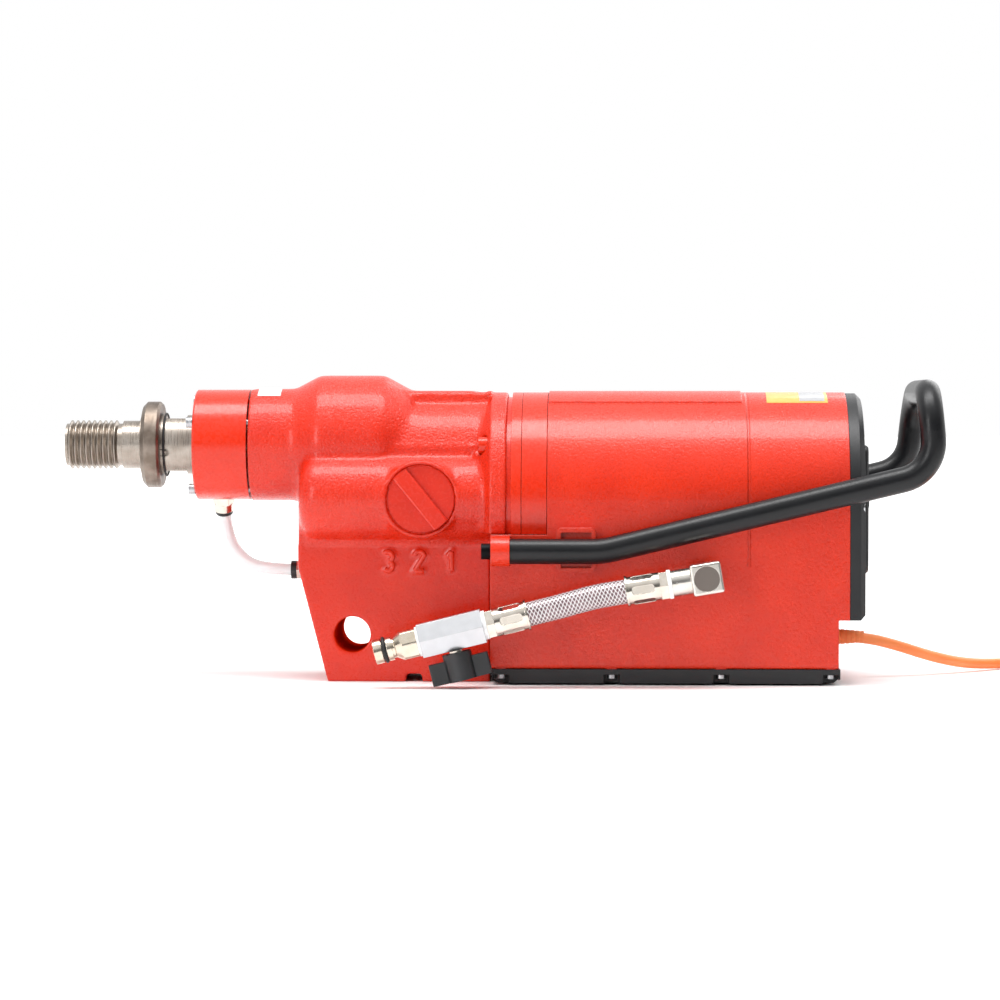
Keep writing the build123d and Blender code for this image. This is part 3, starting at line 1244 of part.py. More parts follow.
# ---- electronics
def control_board():
    """Speed electronics: the board, a capacitor and a heat sink on it."""
    top = BOARD_Z + BOARD_THICK
    board = block(*BOARD_X, -50, 50, BOARD_Z, top)
    sink = block(170, 215, -30, 30, top, top + 4)
    for rib in range(7):
        sink += block(170, 215, -30 + 9.5 * rib, -27 + 9.5 * rib, top + 3, top + 18)
    return group([board, rod(11, 118, 158, 20, top + 11), sink])


def shaft_bearings():
    return group([
        bearing(31, SEAT_RADIUS, -97, -83, 0, SPINDLE_Z),
        bearing(23.5, TAIL_RADIUS, WEB_FRONT - 1, WEB_FRONT + 13, 0, SPINDLE_Z),
        bearing(16, 7.5, -65, -57, LAY_Y, LAY_Z),
        bearing(16, 7.5, 53, 61.5, LAY_Y, LAY_Z),
        bearing(9, 5, WEB_BACK - 9, WEB_BACK - 0.5, 0, MOTOR_Z),
        bearing(19, 8, 53, 61.5, 0, MOTOR_Z),
        bearing(20, SHAFT_R, HOUSING_FRONT + 3, HOUSING_FRONT + 15, 0, MOTOR_Z),
        bearing(16, 6, BRACKET_X[0], BRACKET_X[1] - 2, 0, MOTOR_Z),
    ])


def shaft_seals():
    return group([*swivel_seals(), ring(31, SEAT_RADIUS + RUNNING, -82.5, -75.5, 0, SPINDLE_Z)])


def parts():
    """Every node of the unit, by name."""
    washers, hose_fittings = hose_pieces()
    made = {
        "drill_spindle": drill_spindle(),
        "output_wheel": group([output_wheel(), wheel_key()]),
        "release_ring": release_ring(),
        "release_keys": release_keys(),
        "release_o_ring": ring_o_ring(),
        "water_swivel": water_swivel(),
        "shaft_seals": shaft_seals(),
        "swivel_screws": swivel_screws(),
        "gearbox_casing": gearbox_casing(),
        "flange_bolts": flange_bolts(),
        "shaft_bearings": shaft_bearings(),
        "selector_knob": selector_knob(),
        "selector_crank": selector_crank(),
        "shift_fork": shift_fork(),
        "fork_rail": fork_rail(),
        "shift_collar": shift_collar(),
        "input_shaft": input_shaft(),
        "layshaft": layshaft(),
        "layshaft_gears": layshaft_gears(),
        "bearing_plate": bearing_plate(),
        "front_gear_ring": front_gear_ring(),
        "rear_gear_ring": rear_gear_ring(),
        "planet_ring_gear": planet_ring_gear(),
        "planet_carrier": planet_carrier() + planet_pins(),
        "rotor_shaft": rotor_shaft(),
        "armature": group([armature_core(), *armature_windings(), commutator()]),
        "cooling_fan": cooling_fan(),
        "stator_core": stator_core(),
        "field_windings": field_windings(),
        "rear_bracket": rear_bracket(),
        "brush_gear": group(brush_gear()),
        "motor_housing": motor_housing(),
        "rear_cover": rear_cover(),
        "bottom_cover": bottom_cover(),
        "cover_screws": group([*rear_screws(), *bottom_screws()]),
        "switch_frame": switch_frame(),
        "power_switch": power_switch(),
        "handle": handle(),
        "handle_screws": handle_screws(),
        "inlet_elbow": group([inlet_elbow(), elbow_disc()]),
        "sealing_washers": washers,
        "hose_fittings": hose_fittings,
        "braided_hose": braided_hose(),
        "valve_body": valve_body(),
        "valve_ball": valve_ball(),
        "valve_lever": valve_lever(),
        "coupling_plug": group([coupling_plug(), coupling_o_ring()]),
        "tube_fittings": group([*swivel_fitting(), *casing_fitting()]),
        "water_tube": water_tube(),
        "power_cord": group([cord_tube("power cord", CORD_ROUTE, CORD), cord_tube("cord tail",
                                                                                  TAIL_ROUTE, CORD)]),
        "cord_coil": cord_coil(),
        "mains_plug": group([mains_plug(), *plug_pins()]),
        "cord_gland": cord_gland(),
        "control_board": control_board(),
    }
    for index in range(PLANET_COUNT):
        made[f"planet_gear_{index + 1}"] = planet_gear(index)
    for index in range(len(PAIR_INPUT_TEETH)):
        made[f"speed_gear_{index + 1}"] = speed_gear(index)
    return made


if __name__ == "__main__":
    os.makedirs("parts", exist_ok=True)
    for node, shape in parts().items():
        export_step(shape, f"parts/{node}.step")
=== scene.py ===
# %% [markdown]
# # A water-flushed core drill motor
#
# This lesson dresses a finished CAD model. The motor is a red cast unit: a
# spindle and a water swivel on the left, a gearbox on a foot, a motor behind it
# and a black carrying handle. The CAD parts keep their shapes and places. Here
# they get real finishes, and the soft things get their real shapes: the mains
# cord, its coil, and the clear water tube.

# %% Load the model
import json
import math

import bmesh
import bpy
from mathutils import Matrix, Vector

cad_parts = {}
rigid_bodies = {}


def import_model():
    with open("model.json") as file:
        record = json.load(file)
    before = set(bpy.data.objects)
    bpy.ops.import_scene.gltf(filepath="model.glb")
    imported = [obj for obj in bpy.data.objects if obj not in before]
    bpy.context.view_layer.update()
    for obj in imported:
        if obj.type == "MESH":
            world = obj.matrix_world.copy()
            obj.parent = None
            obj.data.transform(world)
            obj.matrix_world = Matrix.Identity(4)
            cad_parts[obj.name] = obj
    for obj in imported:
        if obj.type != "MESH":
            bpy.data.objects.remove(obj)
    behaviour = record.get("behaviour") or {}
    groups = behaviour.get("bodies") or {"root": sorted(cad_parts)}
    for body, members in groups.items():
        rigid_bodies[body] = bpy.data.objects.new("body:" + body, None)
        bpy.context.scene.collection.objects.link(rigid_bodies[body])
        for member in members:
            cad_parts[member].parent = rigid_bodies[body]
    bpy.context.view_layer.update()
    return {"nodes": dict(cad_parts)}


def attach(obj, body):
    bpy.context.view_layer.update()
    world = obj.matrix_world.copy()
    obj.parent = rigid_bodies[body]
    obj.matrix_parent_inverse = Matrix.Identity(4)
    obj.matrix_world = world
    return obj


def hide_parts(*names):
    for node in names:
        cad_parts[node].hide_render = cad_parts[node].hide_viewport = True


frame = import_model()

MM = 0.001
MOTOR_Z = 117.0
SPINDLE_Z = 151.0
KNOB_X = 8.6

# %% [markdown]
# ## The camera
#
# A product shot is taken from far away with a long lens, so that lines stay
# nearly parallel. The camera stands 2.3 m off, a little above the motor's
# middle, and looks down and to the left of straight ahead.

# %% Camera
CAMERA_PLACE = Vector((0.130, -2.300, 0.180))
CAMERA_AIM = Vector((0.0572, 0.0, 0.115))

camera_data = bpy.data.cameras.new("product_camera")
camera_data.lens = 127.4
camera_data.sensor_width = 36
camera_data.clip_end = 50
camera = bpy.data.objects.new("product_camera", camera_data)
bpy.context.scene.collection.objects.link(camera)
camera.location = CAMERA_PLACE
camera.rotation_euler = (CAMERA_AIM - CAMERA_PLACE).to_track_quat("-Z", "Y").to_euler()
bpy.context.scene.camera = camera
print("camera at", tuple(CAMERA_PLACE))

# %% [markdown]
# ## The mains cord
#
# The lead is 7 mm thick and leaves the back of the unit near its floor. It runs
# out straight, sinks to the table and winds into a flat coil of a hand's width,
# three turns wide and four layers high. One NURBS spline carries all of it, so
# there is no joint to hide. The coil's points come from a loop: each layer
# winds inwards or outwards by one diameter a turn, then climbs to the next.

# %% Route of the cord
CORD = 7.0 * MM
LEAD_OUT = [
    (273.4, 0.0, 26.5),
    (292.0, 0.0, 26.5),
    (314.0, 8.0, 21.0),
    (339.0, 25.0, 12.0),
    (364.0, 48.0, 5.6),
    (389.0, 76.0, 3.5),
]
LEAD_TAIL = [
    (505.0, 40.0, 21.5),
    (497.0, 12.0, 15.5),
    (482.0, -14.0, 10.5),
    (463.0, -36.0, 9.0),
    (447.0, -56.0, 9.0),
]
ENTRY = math.radians(47)
OUTER_TURN = 52.5
INNER_TURN = 31.5
COIL_X = 415.0 + OUTER_TURN * math.sin(ENTRY)
COIL_Y = 104.0 - OUTER_TURN * math.cos(ENTRY)
POINTS_A_TURN = 16
LAYERS = 4
TURNS_A_LAYER = 3
CLIMB_TURNS = (math.pi / 2 + ENTRY) / (2 * math.pi) / (LAYERS - 1)


def coil_points():
    """Points of the wound coil, from its lowest outer turn to its top outer turn."""
    period = TURNS_A_LAYER + CLIMB_TURNS
    total = LAYERS * TURNS_A_LAYER + (LAYERS - 1) * CLIMB_TURNS
    count = round(total * POINTS_A_TURN)
    points = []
    for step in range(count + 1):
        turn = total * step / count
        layer = min(int(turn / period), LAYERS - 1)
        along = turn - layer * period
        wound = min(along / TURNS_A_LAYER, 1)
        climb = max(along - TURNS_A_LAYER, 0) / CLIMB_TURNS if layer < LAYERS - 1 else 0
        start, end = (OUTER_TURN, INNER_TURN) if layer % 2 == 0 else (INNER_TURN, OUTER_TURN)
        radius = start + (end - start) * wound
        angle = math.pi / 2 + ENTRY - 2 * math.pi * turn
        height = 3.5 + 7.0 * (layer + climb)
        points.append((COIL_X + radius * math.cos(angle), COIL_Y + radius * math.sin(angle), height))
    return points


def nurbs_tube(name, points_mm, diameter):
    """A round tube on one smooth spline with the given control points."""
    data = bpy.data.curves.new(name, "CURVE")
    data.dimensions = "3D"
    spline = data.splines.new("NURBS")
    spline.points.add(len(points_mm) - 1)
    for place, point in zip(spline.points, points_mm):
        place.co = (point[0] * MM, point[1] * MM, point[2] * MM, 1)
    spline.order_u = 3
    spline.use_endpoint_u = True
    spline.resolution_u = 4
    data.bevel_depth = diameter / 2
    data.bevel_resolution = 4
    data.use_fill_caps = True
    piece = bpy.data.objects.new(name, data)
    bpy.context.scene.collection.objects.link(piece)
    return piece


def spline_points(piece):
    """The points that a curve's own spline passes through, without its thickness."""
    bare = piece.copy()
    bare.data = piece.data.copy()
    bare.data.bevel_depth = 0
    bpy.context.scene.collection.objects.link(bare)
    bpy.context.view_layer.update()
    mesh = bpy.data.meshes.new_from_object(bare)
    points = [vertex.co.copy() for vertex in mesh.vertices]
    bpy.data.objects.remove(bare)
    return points


def line_length(points):
    return sum((b - a).length for a, b in zip(points, points[1:]))


mains_cord = nurbs_tube("mains_cord", LEAD_OUT + coil_points() + LEAD_TAIL, CORD)
cord_line = spline_points(mains_cord)

# %% [markdown]
# The lead leaves the housing through a moulded sleeve, which keeps it from
# kinking. It is a slim cone with grooves cut round it. A cylinder is added
# along the lead, its side is cut into rings, and every second ring is shrunk.

# %% Strain relief sleeve
SLEEVE_GROOVES = 5


def only(piece):
    """Make one piece the only selected and the active one."""
    for other in bpy.context.view_layer.objects:
        other.select_set(False)
    piece.select_set(True)
    bpy.context.view_layer.objects.active = piece


def settle(piece):
    """Put the piece's place, turn and size into its mesh."""
    only(piece)
    bpy.ops.object.transform_apply(location=True, rotation=True, scale=True)
    return piece


def turned(name, profile, segments=48, start=(0, 0, 0), direction=(1, 0, 0), closed=False):
    """Spin a profile of (distance along, radius) pairs in mm about a line."""
    bpy.ops.object.select_all(action="DESELECT")
    bpy.ops.mesh.primitive_plane_add(size=1)
    piece = bpy.context.object
    piece.name = name
    work = bmesh.new()
    corners = [work.verts.new((radius * MM, 0, along * MM)) for along, radius in profile]
    for first, second in zip(corners, corners[1:]):
        work.edges.new((first, second))
    if closed:
        work.edges.new((corners[-1], corners[0]))
    work.to_mesh(piece.data)
    work.free()
    only(piece)
    bpy.ops.object.mode_set(mode="EDIT")
    bpy.ops.mesh.select_all(action="SELECT")
    bpy.ops.mesh.spin(steps=segments, angle=2 * math.pi, center=(0, 0, 0), axis=(0, 0, 1))
    bpy.ops.mesh.select_all(action="SELECT")
    bpy.ops.mesh.remove_doubles(threshold=1e-6)
    bpy.ops.mesh.normals_make_consistent(inside=False)
    bpy.ops.object.mode_set(mode="OBJECT")
    turn = Vector(direction).to_track_quat("Z", "Y").to_matrix().to_4x4()
    piece.matrix_world = Matrix.Translation(Vector(start) * MM) @ turn
    settle(piece)
    bpy.ops.object.shade_smooth_by_angle(angle=math.radians(35))
    return piece


rings = [(0.0, 3.55), (0.0, 5.6), (1.6, 5.6)]
for groove in range(SLEEVE_GROOVES):
    edge = 2.0 + 3.2 * groove
    outer = 5.2 - 0.26 * groove
    rings += [(edge, outer), (edge + 2.2, outer - 0.15), (edge + 2.4, outer - 0.5), (edge + 3.0, outer - 0.5)]
rings += [(19.2, 3.95), (20.0, 3.7), (20.0, 3.55)]
cord_sleeve = turned("cord_sleeve", rings, 40, (273.5, 0, 26.5), (1, 0, 0), closed=True)
print("sleeve", len(cord_sleeve.data.polygons), "faces")

# %% [markdown]
# The selector knob turns in a seat with a small gap round it. A ring of the same red fills the gap a little
# below the knob's face, so that the gap shows red instead of a dark line of shade.

# %% Knob gap fill, against the gap's shade
KNOB_FACE_Y = -62.6
GAP_FILL_INNER = 21.28
GAP_FILL_MIDDLE = 21.55
GAP_FILL_OUTER = 21.75
GAP_FILL = [(-1.4, GAP_FILL_INNER), (-1.1, GAP_FILL_MIDDLE), (-1.4, GAP_FILL_OUTER), (-5.0, GAP_FILL_OUTER), (-5.0, GAP_FILL_INNER)]
# A ring in the knob's red, put in the gap so that it shows no dark line of shade.
knob_gap_fill = turned("knob_gap_fill", GAP_FILL, 96, (KNOB_X, KNOB_FACE_Y, MOTOR_Z), (0, -1, 0), closed=True)

# %% [markdown]
# ## The clear water tube
#
# A soft clear tube takes water from the foot to the swivel. It bends from its
# upper fitting down and round into the lower one, in one easy curve.

# %% Water tube
TUBE = 8.0 * MM
FITTING_TILT = math.radians(26)
SWIVEL_X = -125.0


def below_swivel(reach):
    return (SWIVEL_X, reach * math.sin(FITTING_TILT), SPINDLE_Z - reach * math.cos(FITTING_TILT))


tube_points = [below_swivel(43.75), below_swivel(66), (-113, 27, 73.5), (-95.5, 20, 68.5), (-75, 20, 68.5)]
clear_tube = nurbs_tube("clear_tube", tube_points, TUBE)
clear_tube.data.resolution_u = 12
TUBE_LENGTH = line_length(spline_points(clear_tube))
print("tube", round(TUBE_LENGTH, 3), "m")

# %% [markdown]
# ## Finishes
#
# Every finish below starts from what the surface is on the real unit. One
# helper adds a node with its settings and links, and one turns an sRGB hex
# colour into the linear values that Blender works in.

# %% Colour and node helpers


def linear(code):
    """An sRGB hex colour as linear red, green, blue and 1."""
    values = [int(code[place:place + 2], 16) / 255 for place in (1, 3, 5)]
    return tuple(v / 12.92 if v <= 0.04045 else ((v + 0.055) / 1.055) ** 2.4 for v in values) + (1.0,)


def add(tree, kind, links=None, **settings):
    """Add a node. Settings name its properties or, with _ for a space, its inputs."""
    node = tree.nodes.new(kind)
    for name, value in settings.items():
        if name in node.bl_rna.properties:
            setattr(node, name, value)
        else:
            node.inputs[int(name[1:]) if name[1:].isdigit() else name.replace("_", " ")].default_value = value
    for name, socket in (links or {}).items():
        tree.links.new(socket, node.inputs[name])
    return node


def start_material(name, base, metallic, roughness, **more):
    """A new material with its shader, and Object coordinates for its patterns."""
    material = bpy.data.materials.new(name)
    material.use_nodes = True
    tree = material.node_tree
    tree.nodes.clear()
    shader = add(tree, "ShaderNodeBsdfPrincipled", Base_Color=linear(base), Metallic=metallic,
                 Roughness=roughness)
    for key, value in more.items():
        shader.inputs[key.replace("_", " ")].default_value = value
    add(tree, "ShaderNodeOutputMaterial", {"Surface": shader.outputs["BSDF"]})
    place = add(tree, "ShaderNodeTexCoord").outputs["Object"]
    return material, tree, shader, place


def ramp(tree, factor, stops):
    """A colour ramp with the given (position, hex) stops."""
    node = add(tree, "ShaderNodeValToRGB", {"Fac": factor})
    elements = node.color_ramp.elements
    while len(elements) < len(stops):
        elements.new(0.5)
    for element, (position, code) in zip(elements, stops):
        element.position = position
        element.color = linear(code)
    return node.outputs["Color"]


def span(tree, value, low, high, to_low, to_high):
    """A number moved from one span to another, kept inside the second."""
    node = add(tree, "ShaderNodeMapRange", {"Value": value})
    for key, setting in (("From Min", low), ("From Max", high), ("To Min", to_low), ("To Max", to_high)):
        node.inputs[key].default_value = setting
    return node.outputs["Result"]


def arithmetic(tree, operation, first, second=None, third=None):
    """One Math node of two or three values or sockets."""
    node = add(tree, "ShaderNodeMath", operation=operation)
    for place, value in enumerate((first, second, third)):
        if isinstance(value, bpy.types.NodeSocket):
            tree.links.new(value, node.inputs[place])
        elif value is not None:
            node.inputs[place].default_value = value
    return node.outputs[0]


def noise(tree, place, size_mm, detail=3.0):
    """Noise whose lumps are about this many millimetres across."""
    node = add(tree, "ShaderNodeTexNoise", {"Vector": place}, Scale=1 / (size_mm * MM), Detail=detail)
    return node.outputs["Fac"]


def hypotenuse(tree, first, second):
    squared = arithmetic(tree, "POWER", first, 2.0)
    return arithmetic(tree, "SQRT", arithmetic(tree, "MULTIPLY_ADD", second, second, squared))


def varied(tree, shader, pattern, low, high):
    """Roughness that follows a noise between two values."""
    tree.links.new(span(tree, pattern, 0.3, 0.7, low, high), shader.inputs["Roughness"])


def rounded(tree, radius_mm):
    """A normal that softens every edge by this radius."""
    return add(tree, "ShaderNodeBevel", samples=6, Radius=radius_mm * MM).outputs["Normal"]


def bumped(tree, shader, height, depth_mm, strength=1.0, normal=None):
    links = {"Height": height}
    if normal:
        links["Normal"] = normal
    bump = add(tree, "ShaderNodeBump", links, Strength=strength, Distance=depth_mm * MM)
    tree.links.new(bump.outputs["Normal"], shader.inputs["Normal"])
    return bump.outputs["Normal"]


# %% [markdown]
# ### Red enamel on castings
#
# The housing and gearbox are die castings under a thick red enamel. The paint
# levels out, but it keeps a fine orange peel and the casting's gentle waves, so
# highlights break up into small dabs. Two noises make its relief, a fine one of
# about 1.5 mm and a slow one of about 14 mm, and edges are softened as paint
# and draft angles soften them. The foot is flatter than the drums, so its
# relief is weak, and the inside of its cross hole has no gloss. A shallow
# groove in the relief marks the seam near the back of the motor housing.

# %% Red enamels
FOOT_TOP = 0.0868
FOOT_RELIEF = 0.22
HOLE_X, HOLE_Z, HOLE_RADIUS = -0.036, 0.030, 0.0115
HOUSING_SEAM_MM = 216.5
SEAM_TOP, SEAM_WIDE, SEAM_NARROW = 0.075, 0.0012, 0.0003


COAT = 0.26
GLOSS = 0.33


def enamel(name, code, dark, peel_mm, peel_depth, edge_mm, roughness, grit=0.0, seam_mm=None, foot=False):
    material, tree, shader, place = start_material(name, code, 0.0, roughness, Coat_Weight=COAT,
                                                   Coat_Roughness=0.12, Specular_IOR_Level=GLOSS)
    cloud = noise(tree, place, 30, 4)
    tree.links.new(ramp(tree, cloud, [(0.3, dark), (0.7, code)]), shader.inputs["Base Color"])
    fine = noise(tree, place, peel_mm, 2)
    varied(tree, shader, fine, roughness - 0.06, roughness + 0.12)
    slow = noise(tree, place, 14, 1)
    mixed = arithmetic(tree, "MULTIPLY_ADD", slow, 0.3, fine)
    if grit:
        mixed = arithmetic(tree, "MULTIPLY_ADD", noise(tree, place, 0.8, 2), grit, mixed)
    soft_edges = rounded(tree, edge_mm)
    if foot:
        axes = add(tree, "ShaderNodeSeparateXYZ", {"Vector": place}).outputs
        relief = span(tree, axes[2], FOOT_TOP - 0.001, FOOT_TOP + 0.002, FOOT_RELIEF, 1.0)
        mixed = arithmetic(tree, "MULTIPLY", mixed, relief)
        aside = arithmetic(tree, "SUBTRACT", axes[0], HOLE_X)
        above = arithmetic(tree, "SUBTRACT", axes[2], HOLE_Z)
        reach = hypotenuse(tree, aside, above)
        for target, level in (("Coat Weight", COAT), ("Specular IOR Level", GLOSS)):
            kept = span(tree, reach, HOLE_RADIUS + 0.0002, HOLE_RADIUS + 0.0008, 0.0, level)
            tree.links.new(kept, shader.inputs[target])
    if seam_mm:
        axes = add(tree, "ShaderNodeSeparateXYZ", {"Vector": place}).outputs
        beside = arithmetic(tree, "ABSOLUTE", arithmetic(tree, "SUBTRACT", axes[0], seam_mm * MM))
        groove = span(tree, beside, SEAM_NARROW, SEAM_WIDE, 0.0, 1.0)
        lifted = arithmetic(tree, "MAXIMUM", groove, arithmetic(tree, "LESS_THAN", axes[2], SEAM_TOP))
        soft_edges = bumped(tree, shader, lifted, 0.8, 1.0, soft_edges)
    bumped(tree, shader, mixed, peel_depth, 1.0, soft_edges)
    return material


cast_enamel = enamel("cast_red_enamel", "#D2290B", "#C52107", 1.5, 0.62, 1.2, 0.28, 0.30, foot=True)
housing_enamel = enamel("housing_red_enamel", "#D42C0D", "#C82509", 1.6, 0.26, 1.2, 0.28, 0.20,
                          HOUSING_SEAM_MM)
gloss_enamel = enamel("smooth_red_enamel", "#D42C0D", "#CF280B", 2.4, 0.02, 0.6, 0.25)
knob_enamel = enamel("knob_red_enamel", "#D0270D", "#C9230B", 2.4, 0.02, 0.2, 0.22)

# %% [markdown]
# ### Turned and ground steel
#
# The spindle, its release ring and the gears are steel, turned on a lathe. The
# tool leaves fine rings along the axis, so the roughness and relief change
# quickly along X and hardly at all round it. Handling leaves faint stains.

# %% Steels


def turned_steel(name, code, stain, roughness, ring_mm=0.5, depth=0.02, axis="X"):
    material, tree, shader, place = start_material(name, code, 1.0, roughness)
    stretch = {"X": (1, 0.03, 0.03), "Y": (0.03, 1, 0.03), "Z": (0.03, 0.03, 1)}[axis]
    long = add(tree, "ShaderNodeMapping", {"Vector": place}, Scale=stretch).outputs["Vector"]
    rings_noise = noise(tree, long, ring_mm, 3)
    stains = noise(tree, place, 9, 4)
    tree.links.new(ramp(tree, stains, [(0.35, stain), (0.65, code)]), shader.inputs["Base Color"])
    varied(tree, shader, rings_noise, roughness - 0.08, roughness + 0.14)
    bumped(tree, shader, rings_noise, depth, 1.0, rounded(tree, 0.35))
    return material


spindle_steel = turned_steel("spindle_turned_steel", "#A79E95", "#958B81", 0.30)
ring_steel = turned_steel("release_ring_steel", "#8D8177", "#6F6359", 0.36)
gear_steel = turned_steel("hardened_gear_steel", "#8F9092", "#77777A", 0.32)
zinc_steel = turned_steel("zinc_plated_steel", "#C3C4C6", "#A9AAAD", 0.30, 0.3, 0.01)
black_steel = turned_steel("black_oxide_steel", "#1D1D1F", "#151516", 0.42, 0.3, 0.01)
bracket_aluminium = turned_steel("machined_aluminium", "#B9BBBE", "#A5A7AA", 0.38, 0.6, 0.02)

# %% [markdown]
# ### Nickel-plated brass
#
# The water set is brass with bright nickel on it. The plating on the valve is
# nearly white, and it is warmer on the plug and the ferrules. It is smooth, with
# a slight waviness from tumbling.

# %% Nickel


def nickel(name, code, tint, roughness, wave_mm=3.0):
    material, tree, shader, place = start_material(name, code, 1.0, roughness)
    cloud = noise(tree, place, 6, 3)
    tree.links.new(ramp(tree, cloud, [(0.3, tint), (0.7, code)]), shader.inputs["Base Color"])
    wave = noise(tree, place, wave_mm, 2)
    varied(tree, shader, wave, roughness - 0.02, roughness + 0.04)
    bumped(tree, shader, wave, 0.006, 1.0, rounded(tree, 0.45))
    return material


valve_nickel = nickel("valve_satin_nickel", "#C6C7CA", "#BFC0C3", 0.30)
fitting_nickel = nickel("fitting_bright_nickel", "#DDD6CC", "#CFC6BA", 0.16)
plug_nickel = nickel("plug_warm_nickel", "#DDD3C4", "#D0C3B0", 0.18)
elbow_nickel = nickel("elbow_satin_nickel", "#D9D5CE", "#CBC6BE", 0.24)

# %% [markdown]
# ### Plastics and rubbers
#
# The covers and the switch are black moulded plastic with a fine spark-eroded
# grain, the handle has a satin black powder coat, and the seals are plain
# rubber. Each has its own grain size and gloss.

# %% Plastics and rubbers


def moulded(name, code, pale, roughness, grain_mm, depth, edge_mm=0.5, **more):
    material, tree, shader, place = start_material(name, code, 0.0, roughness, **more)
    cloud = noise(tree, place, 22, 3)
    tree.links.new(ramp(tree, cloud, [(0.35, code), (0.7, pale)]), shader.inputs["Base Color"])
    grain = noise(tree, place, grain_mm, 2)
    varied(tree, shader, grain, roughness - 0.06, roughness + 0.08)
    bumped(tree, shader, grain, depth, 1.0, rounded(tree, edge_mm))
    return material


black_cover = moulded("cover_black_plastic", "#121316", "#18191B", 0.44, 0.6, 0.03, 0.8)
handle_coat = moulded("handle_black_powder_coat", "#07080B", "#0B0C10", 0.34, 0.9, 0.04, 0.3,
                      Specular_IOR_Level=0.36)
lever_plastic = moulded("lever_black_plastic", "#1A1B1D", "#222326", 0.42, 0.5, 0.02, 0.7)
seal_rubber = moulded("seal_black_rubber", "#121213", "#18181A", 0.62, 0.5, 0.02, 0.3)
washer_plastic = moulded("washer_white_plastic", "#EDEEEF", "#F4F4F4", 0.45, 0.5, 0.01, 0.3)
cord_sheath = moulded("cord_orange_sheath", "#FF8C4B", "#FF9656", 0.45, 0.7, 0.02, 0.2)
fan_plastic = moulded("fan_black_plastic", "#202124", "#28292C", 0.5, 0.6, 0.03, 0.5)
board_resin = moulded("board_green_resin", "#14532D", "#1B6338", 0.35, 0.8, 0.01, 0.2)
tube_plastic = moulded("tube_clear_plastic", "#E4E7E9", "#EDEFF0", 0.14, 2.0, 0.005, 0.2, Alpha=0.72,
                       Coat_Weight=0.5, Coat_Roughness=0.05)
winding_wire = turned_steel("winding_copper_wire", "#B4653A", "#9A522C", 0.34, 0.9, 0.15)
core_sheets = turned_steel("core_steel_sheets", "#58585B", "#4A4A4D", 0.45, 0.9, 0.08)
print("materials", len(bpy.data.materials))

# %% [markdown]
# ### The braided hose and the small marked parts
#
# The flush hose is clear, with a white polyester braid under its outer skin.
# Two families of threads cross at a slant and leave small diamonds, through
# which the reddish inner wall shows. The pattern is worked out from the
# distance along the hose and the angle round it. The elbow's sight disc, the
# plug's O-ring and the caps of the fittings are picked out by their places.

# %% Braided hose, and finishes with a second part
SET_Y = -95.0
HOSE_TILT = math.radians(11.75)
HOSE_START_X, HOSE_START_Z = 104.5, 53.8
HOSE_THREADS = 12
BRAID_PITCH_MM = 30.0


def along_line(tree, place, origin_mm, direction):
    """Object position measured from a point, along a line and across it."""
    turn = Vector(direction).to_track_quat("X", "Z").to_matrix().transposed().to_euler()
    moved = add(tree, "ShaderNodeVectorMath", {0: place}, operation="SUBTRACT")
    moved.inputs[1].default_value = tuple(value * MM for value in origin_mm)
    spun = add(tree, "ShaderNodeVectorRotate", {"Vector": moved.outputs[0]}, rotation_type="EULER_XYZ")
    spun.inputs["Rotation"].default_value = turn
    return add(tree, "ShaderNodeSeparateXYZ", {"Vector": spun.outputs[0]}).outputs


def braided_plastic():
    material, tree, shader, place = start_material("hose_braided_plastic", "#C9BFC2", 0.0, 0.16,
                                                   Coat_Weight=0.6, Coat_Roughness=0.06)
    direction = (math.cos(HOSE_TILT), 0, math.sin(HOSE_TILT))
    axes = along_line(tree, place, (HOSE_START_X, SET_Y, HOSE_START_Z), direction)
    angle = arithmetic(tree, "ARCTAN2", axes[1], axes[2])
    turns_a_metre = 2 * math.pi * HOSE_THREADS / (BRAID_PITCH_MM * MM)
    lines = []
    for side in (-1, 1):
        advance = arithmetic(tree, "MULTIPLY", axes[0], side * turns_a_metre)
        phase = arithmetic(tree, "MULTIPLY_ADD", angle, float(HOSE_THREADS), advance)
        wave = arithmetic(tree, "SINE", arithmetic(tree, "MULTIPLY", phase, 0.5))
        lines.append(arithmetic(tree, "ABSOLUTE", wave))
    nearest = arithmetic(tree, "MINIMUM", *lines)
    thread = span(tree, nearest, 0.18, 0.42, 1.0, 0.0)
    cloud = noise(tree, place, 5, 2)
    wall = ramp(tree, cloud, [(0.3, "#5E4348"), (0.7, "#806468")])
    mix = add(tree, "ShaderNodeMix", {"Factor": thread}, data_type="RGBA")
    tree.links.new(wall, mix.inputs[6])
    mix.inputs[7].default_value = linear("#F4F2F3")
    tree.links.new(mix.outputs[2], shader.inputs["Base Color"])
    tree.links.new(span(tree, thread, 0, 1, 0.9, 1.0), shader.inputs["Alpha"])
    bumped(tree, shader, thread, 0.25, 0.6)
    return material


hose_plastic = braided_plastic()


def marked(name, base, mark_code, mark_roughness, test):
    """A copy of a finish with a second, plain-coloured part where test is near 1."""
    material = base.copy()
    material.name = name
    tree = material.node_tree
    shader = next(node for node in tree.nodes if node.type == "BSDF_PRINCIPLED")
    place = next(node for node in tree.nodes if node.type == "TEX_COORD").outputs["Object"]
    mask = test(tree, place)
    colour = shader.inputs["Base Color"].links[0].from_socket
    mix = add(tree, "ShaderNodeMix", {"Factor": mask}, data_type="RGBA")
    tree.links.new(colour, mix.inputs[6])
    mix.inputs[7].default_value = linear(mark_code)
    tree.links.new(mix.outputs[2], shader.inputs["Base Color"])
    rough = shader.inputs["Roughness"].links[0].from_socket
    blend = add(tree, "ShaderNodeMix", {"Factor": mask}, data_type="FLOAT")
    tree.links.new(rough, blend.inputs[2])
    blend.inputs[3].default_value = mark_roughness
    tree.links.new(blend.outputs[0], shader.inputs["Roughness"])
    return material, tree, shader, mask


